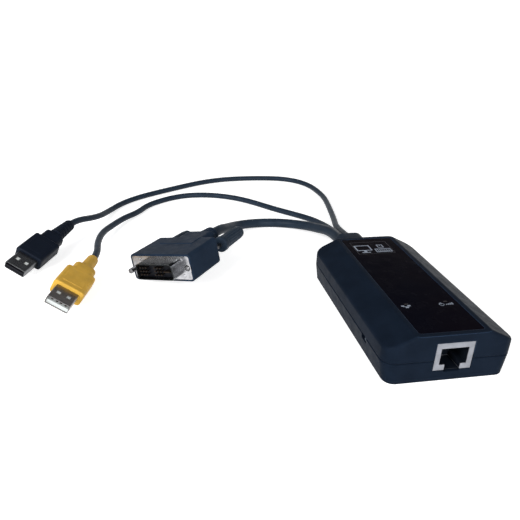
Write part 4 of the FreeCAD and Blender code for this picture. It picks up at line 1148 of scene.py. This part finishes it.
@dataclass
class DviPlug:
    """The DVI plug with its two thumbscrews."""

    place: PlugPlace = DVI_PLACE
    screw_offset: float = 16.65
    knob_start: float = 27.6
    drawn_back: float = 5.6
    knob_length: float = 23.0
    knob_radius: float = 3.95
    knob_end_radius: float = 3.55
    ring_radius: float = 4.5
    ribs: int = 18
    flange_front: float = 0.15
    hood_half_height: float = 7.5
    saddle_end: float = 25.4
    saddle_steps: Tuple[Point, ...] = ((12.8, 12.8, 0.03), (16.0, 10.8, 0.3))
    rivet_x: float = 13.9
    rivet_z: float = 4.4
    rivet_radius: float = 0.85
    grip_start: float = 3.2

    def knob_front(self, name: str) -> float:
        """How far behind the plug's front the "left" or "right" knob starts, in mm."""
        return self.knob_start + (self.drawn_back if name == "right" else 0.0)

    def rivets(self) -> None:
        """Sets the four rivet heads that hold the metal front."""
        heads = Shaper()
        for x in (-self.rivet_x, self.rivet_x):
            for z in (-self.rivet_z, self.rivet_z):
                heads.rod((x, 0.1, z), self.rivet_radius, 0.5, "Y", 20, 0.2)
        mesh = heads.moved(self.place.matrix())
        soften(new_piece("flange_rivets", mesh, "housing", "shield_metal", Finish.BRIGHT_SHELL))

    def saddles(self) -> None:
        """Raises the stepped pad on the hood's two broad faces."""
        pads = Shaper()
        for side in (-1, 1):
            for front, half, rise in self.saddle_steps:
                edge = side * (self.hood_half_height + rise)
                root = side * (self.hood_half_height - 0.8)
                low, high = (-half, front, min(edge, root)), (half, self.saddle_end, max(edge, root))
                pads.block(low, high, 0.25, 3)
        mesh = pads.moved(self.place.matrix())
        soften(new_piece("hood_saddles", mesh, "housing", "plug_moulding", Finish.PLUG))

    def knob_grip(self, side: int) -> None:
        """Adds the tapered grip, the front ring and the ribs of one thumbscrew's knob.

        Args:
            side: -1 for the left screw, 1 for the right one.
        """
        name = "left" if side < 0 else "right"
        grip = Shaper()
        body = self.knob_length - self.grip_start - 0.2
        middle = (0.0, self.grip_start + body / 2, 0.0)
        grip.rod(middle, self.knob_radius, body, "Y", 48, 0.8, self.knob_end_radius)
        grip.rod((0.0, 1.95, 0.0), self.ring_radius, 3.7, "Y", 48, 0.6)
        slope = math.atan((self.knob_radius - self.knob_end_radius) / self.knob_length)
        length = self.knob_length - 6.4
        for i in range(self.ribs):
            before = set(grip.mesh.verts)
            grip.block((-0.2, 0.0, -0.25), (0.2, length, 0.18), 0.12)
            rib = [v for v in grip.mesh.verts if v not in before]
            tilt = Matrix.Rotation(-slope, 3, "X")
            bmesh.ops.rotate(grip.mesh, cent=(0.0, 0.0, 0.0), matrix=tilt, verts=rib)
            bmesh.ops.translate(grip.mesh, vec=(0.0, 3.6 * MM, (self.knob_radius - 0.02) * MM), verts=rib)
            turn = Matrix.Rotation(math.tau * i / self.ribs, 3, "Y")
            bmesh.ops.rotate(grip.mesh, cent=(0.0, 0.0, 0.0), matrix=turn, verts=rib)
        offset = (side * self.screw_offset * MM, self.knob_front(name) * MM, 0.0)
        bmesh.ops.translate(grip.mesh, vec=offset, verts=grip.mesh.verts)
        mesh = grip.moved(self.place.matrix())
        soften(new_piece(name + "_knob_grip", mesh, name + "_screw", "screw_dark", Finish.KNOB))

    def build(self) -> None:
        """Dresses the plug's pieces."""
        smooth_node("dvi_hood", "housing", "plug_moulding", Finish.PLUG)
        shell = smooth_node(
            "dvi_shell", "housing", "shield_metal", Finish.BRIGHT_SHELL, Finish.COLLAR_PAINTED_DARK, Finish.DULL_NICKEL_AND_SHADE
        )
        # Painted shade: faces in front of the flange get a near-black copy of the nickel, and those turned
        # to +x a darker copy. This paints the dark reflection and the shade on one metal shell.
        inverse = self.place.matrix().inverted()
        for face in shell.data.polygons:
            facing = inverse.to_3x3() @ face.normal
            if (inverse @ face.center).y < self.flange_front * MM:
                face.material_index = 2 if facing.x > 0.8 else 1
        dress_node("dvi_core", Finish.CORE)
        dress_node("dvi_pins", Finish.PIN)
        dress_node("dvi_blade", Finish.PIN)
        self.rivets()
        self.saddles()
        for side in ("left", "right"):
            dress_node(side + "_screw_clip", Finish.CLIP)
            self.screw(side)
        self.knob_grip(-1)
        self.knob_grip(1)

    def screw(self, side: str) -> None:
        """Dresses one thumbscrew: a steel shank in a dark knob.

        Args:
            side: "left" or "right".
        """
        piece = smooth_node(side + "_thumbscrew", side + "_screw", "screw_dark", Finish.KNOB, Finish.SHANK)
        inverse = self.place.matrix().inverted()
        for face in piece.data.polygons:
            if (inverse @ face.center).y < (self.knob_front(side) - 0.1) * MM:
                face.material_index = 1


def main() -> None:
    """Builds the studio and the adapter."""
    logging.basicConfig(level=logging.INFO, format="%(name)s: %(message)s")
    Studio().build()
    Housing().build()
    Board().build()
    UsbPlug(
        "black", BLACK_PLACE, Finish.DARK_PLUG, Finish.DULL_NICKEL_AND_SHADE, Finish.CORE,
        ("plug_moulding", "core_black"), rings=6,
    ).build()
    UsbPlug(
        "yellow", YELLOW_PLACE, Finish.YELLOW, Finish.TIN_SHELL, Finish.IVORY,
        ("yellow_moulding", "core_ivory"),
    ).build()
    DviPlug().build()
    for cord in CORDS:
        cord.build()
    bpy.context.view_layer.update()


if __name__ == "__main__":
    main()
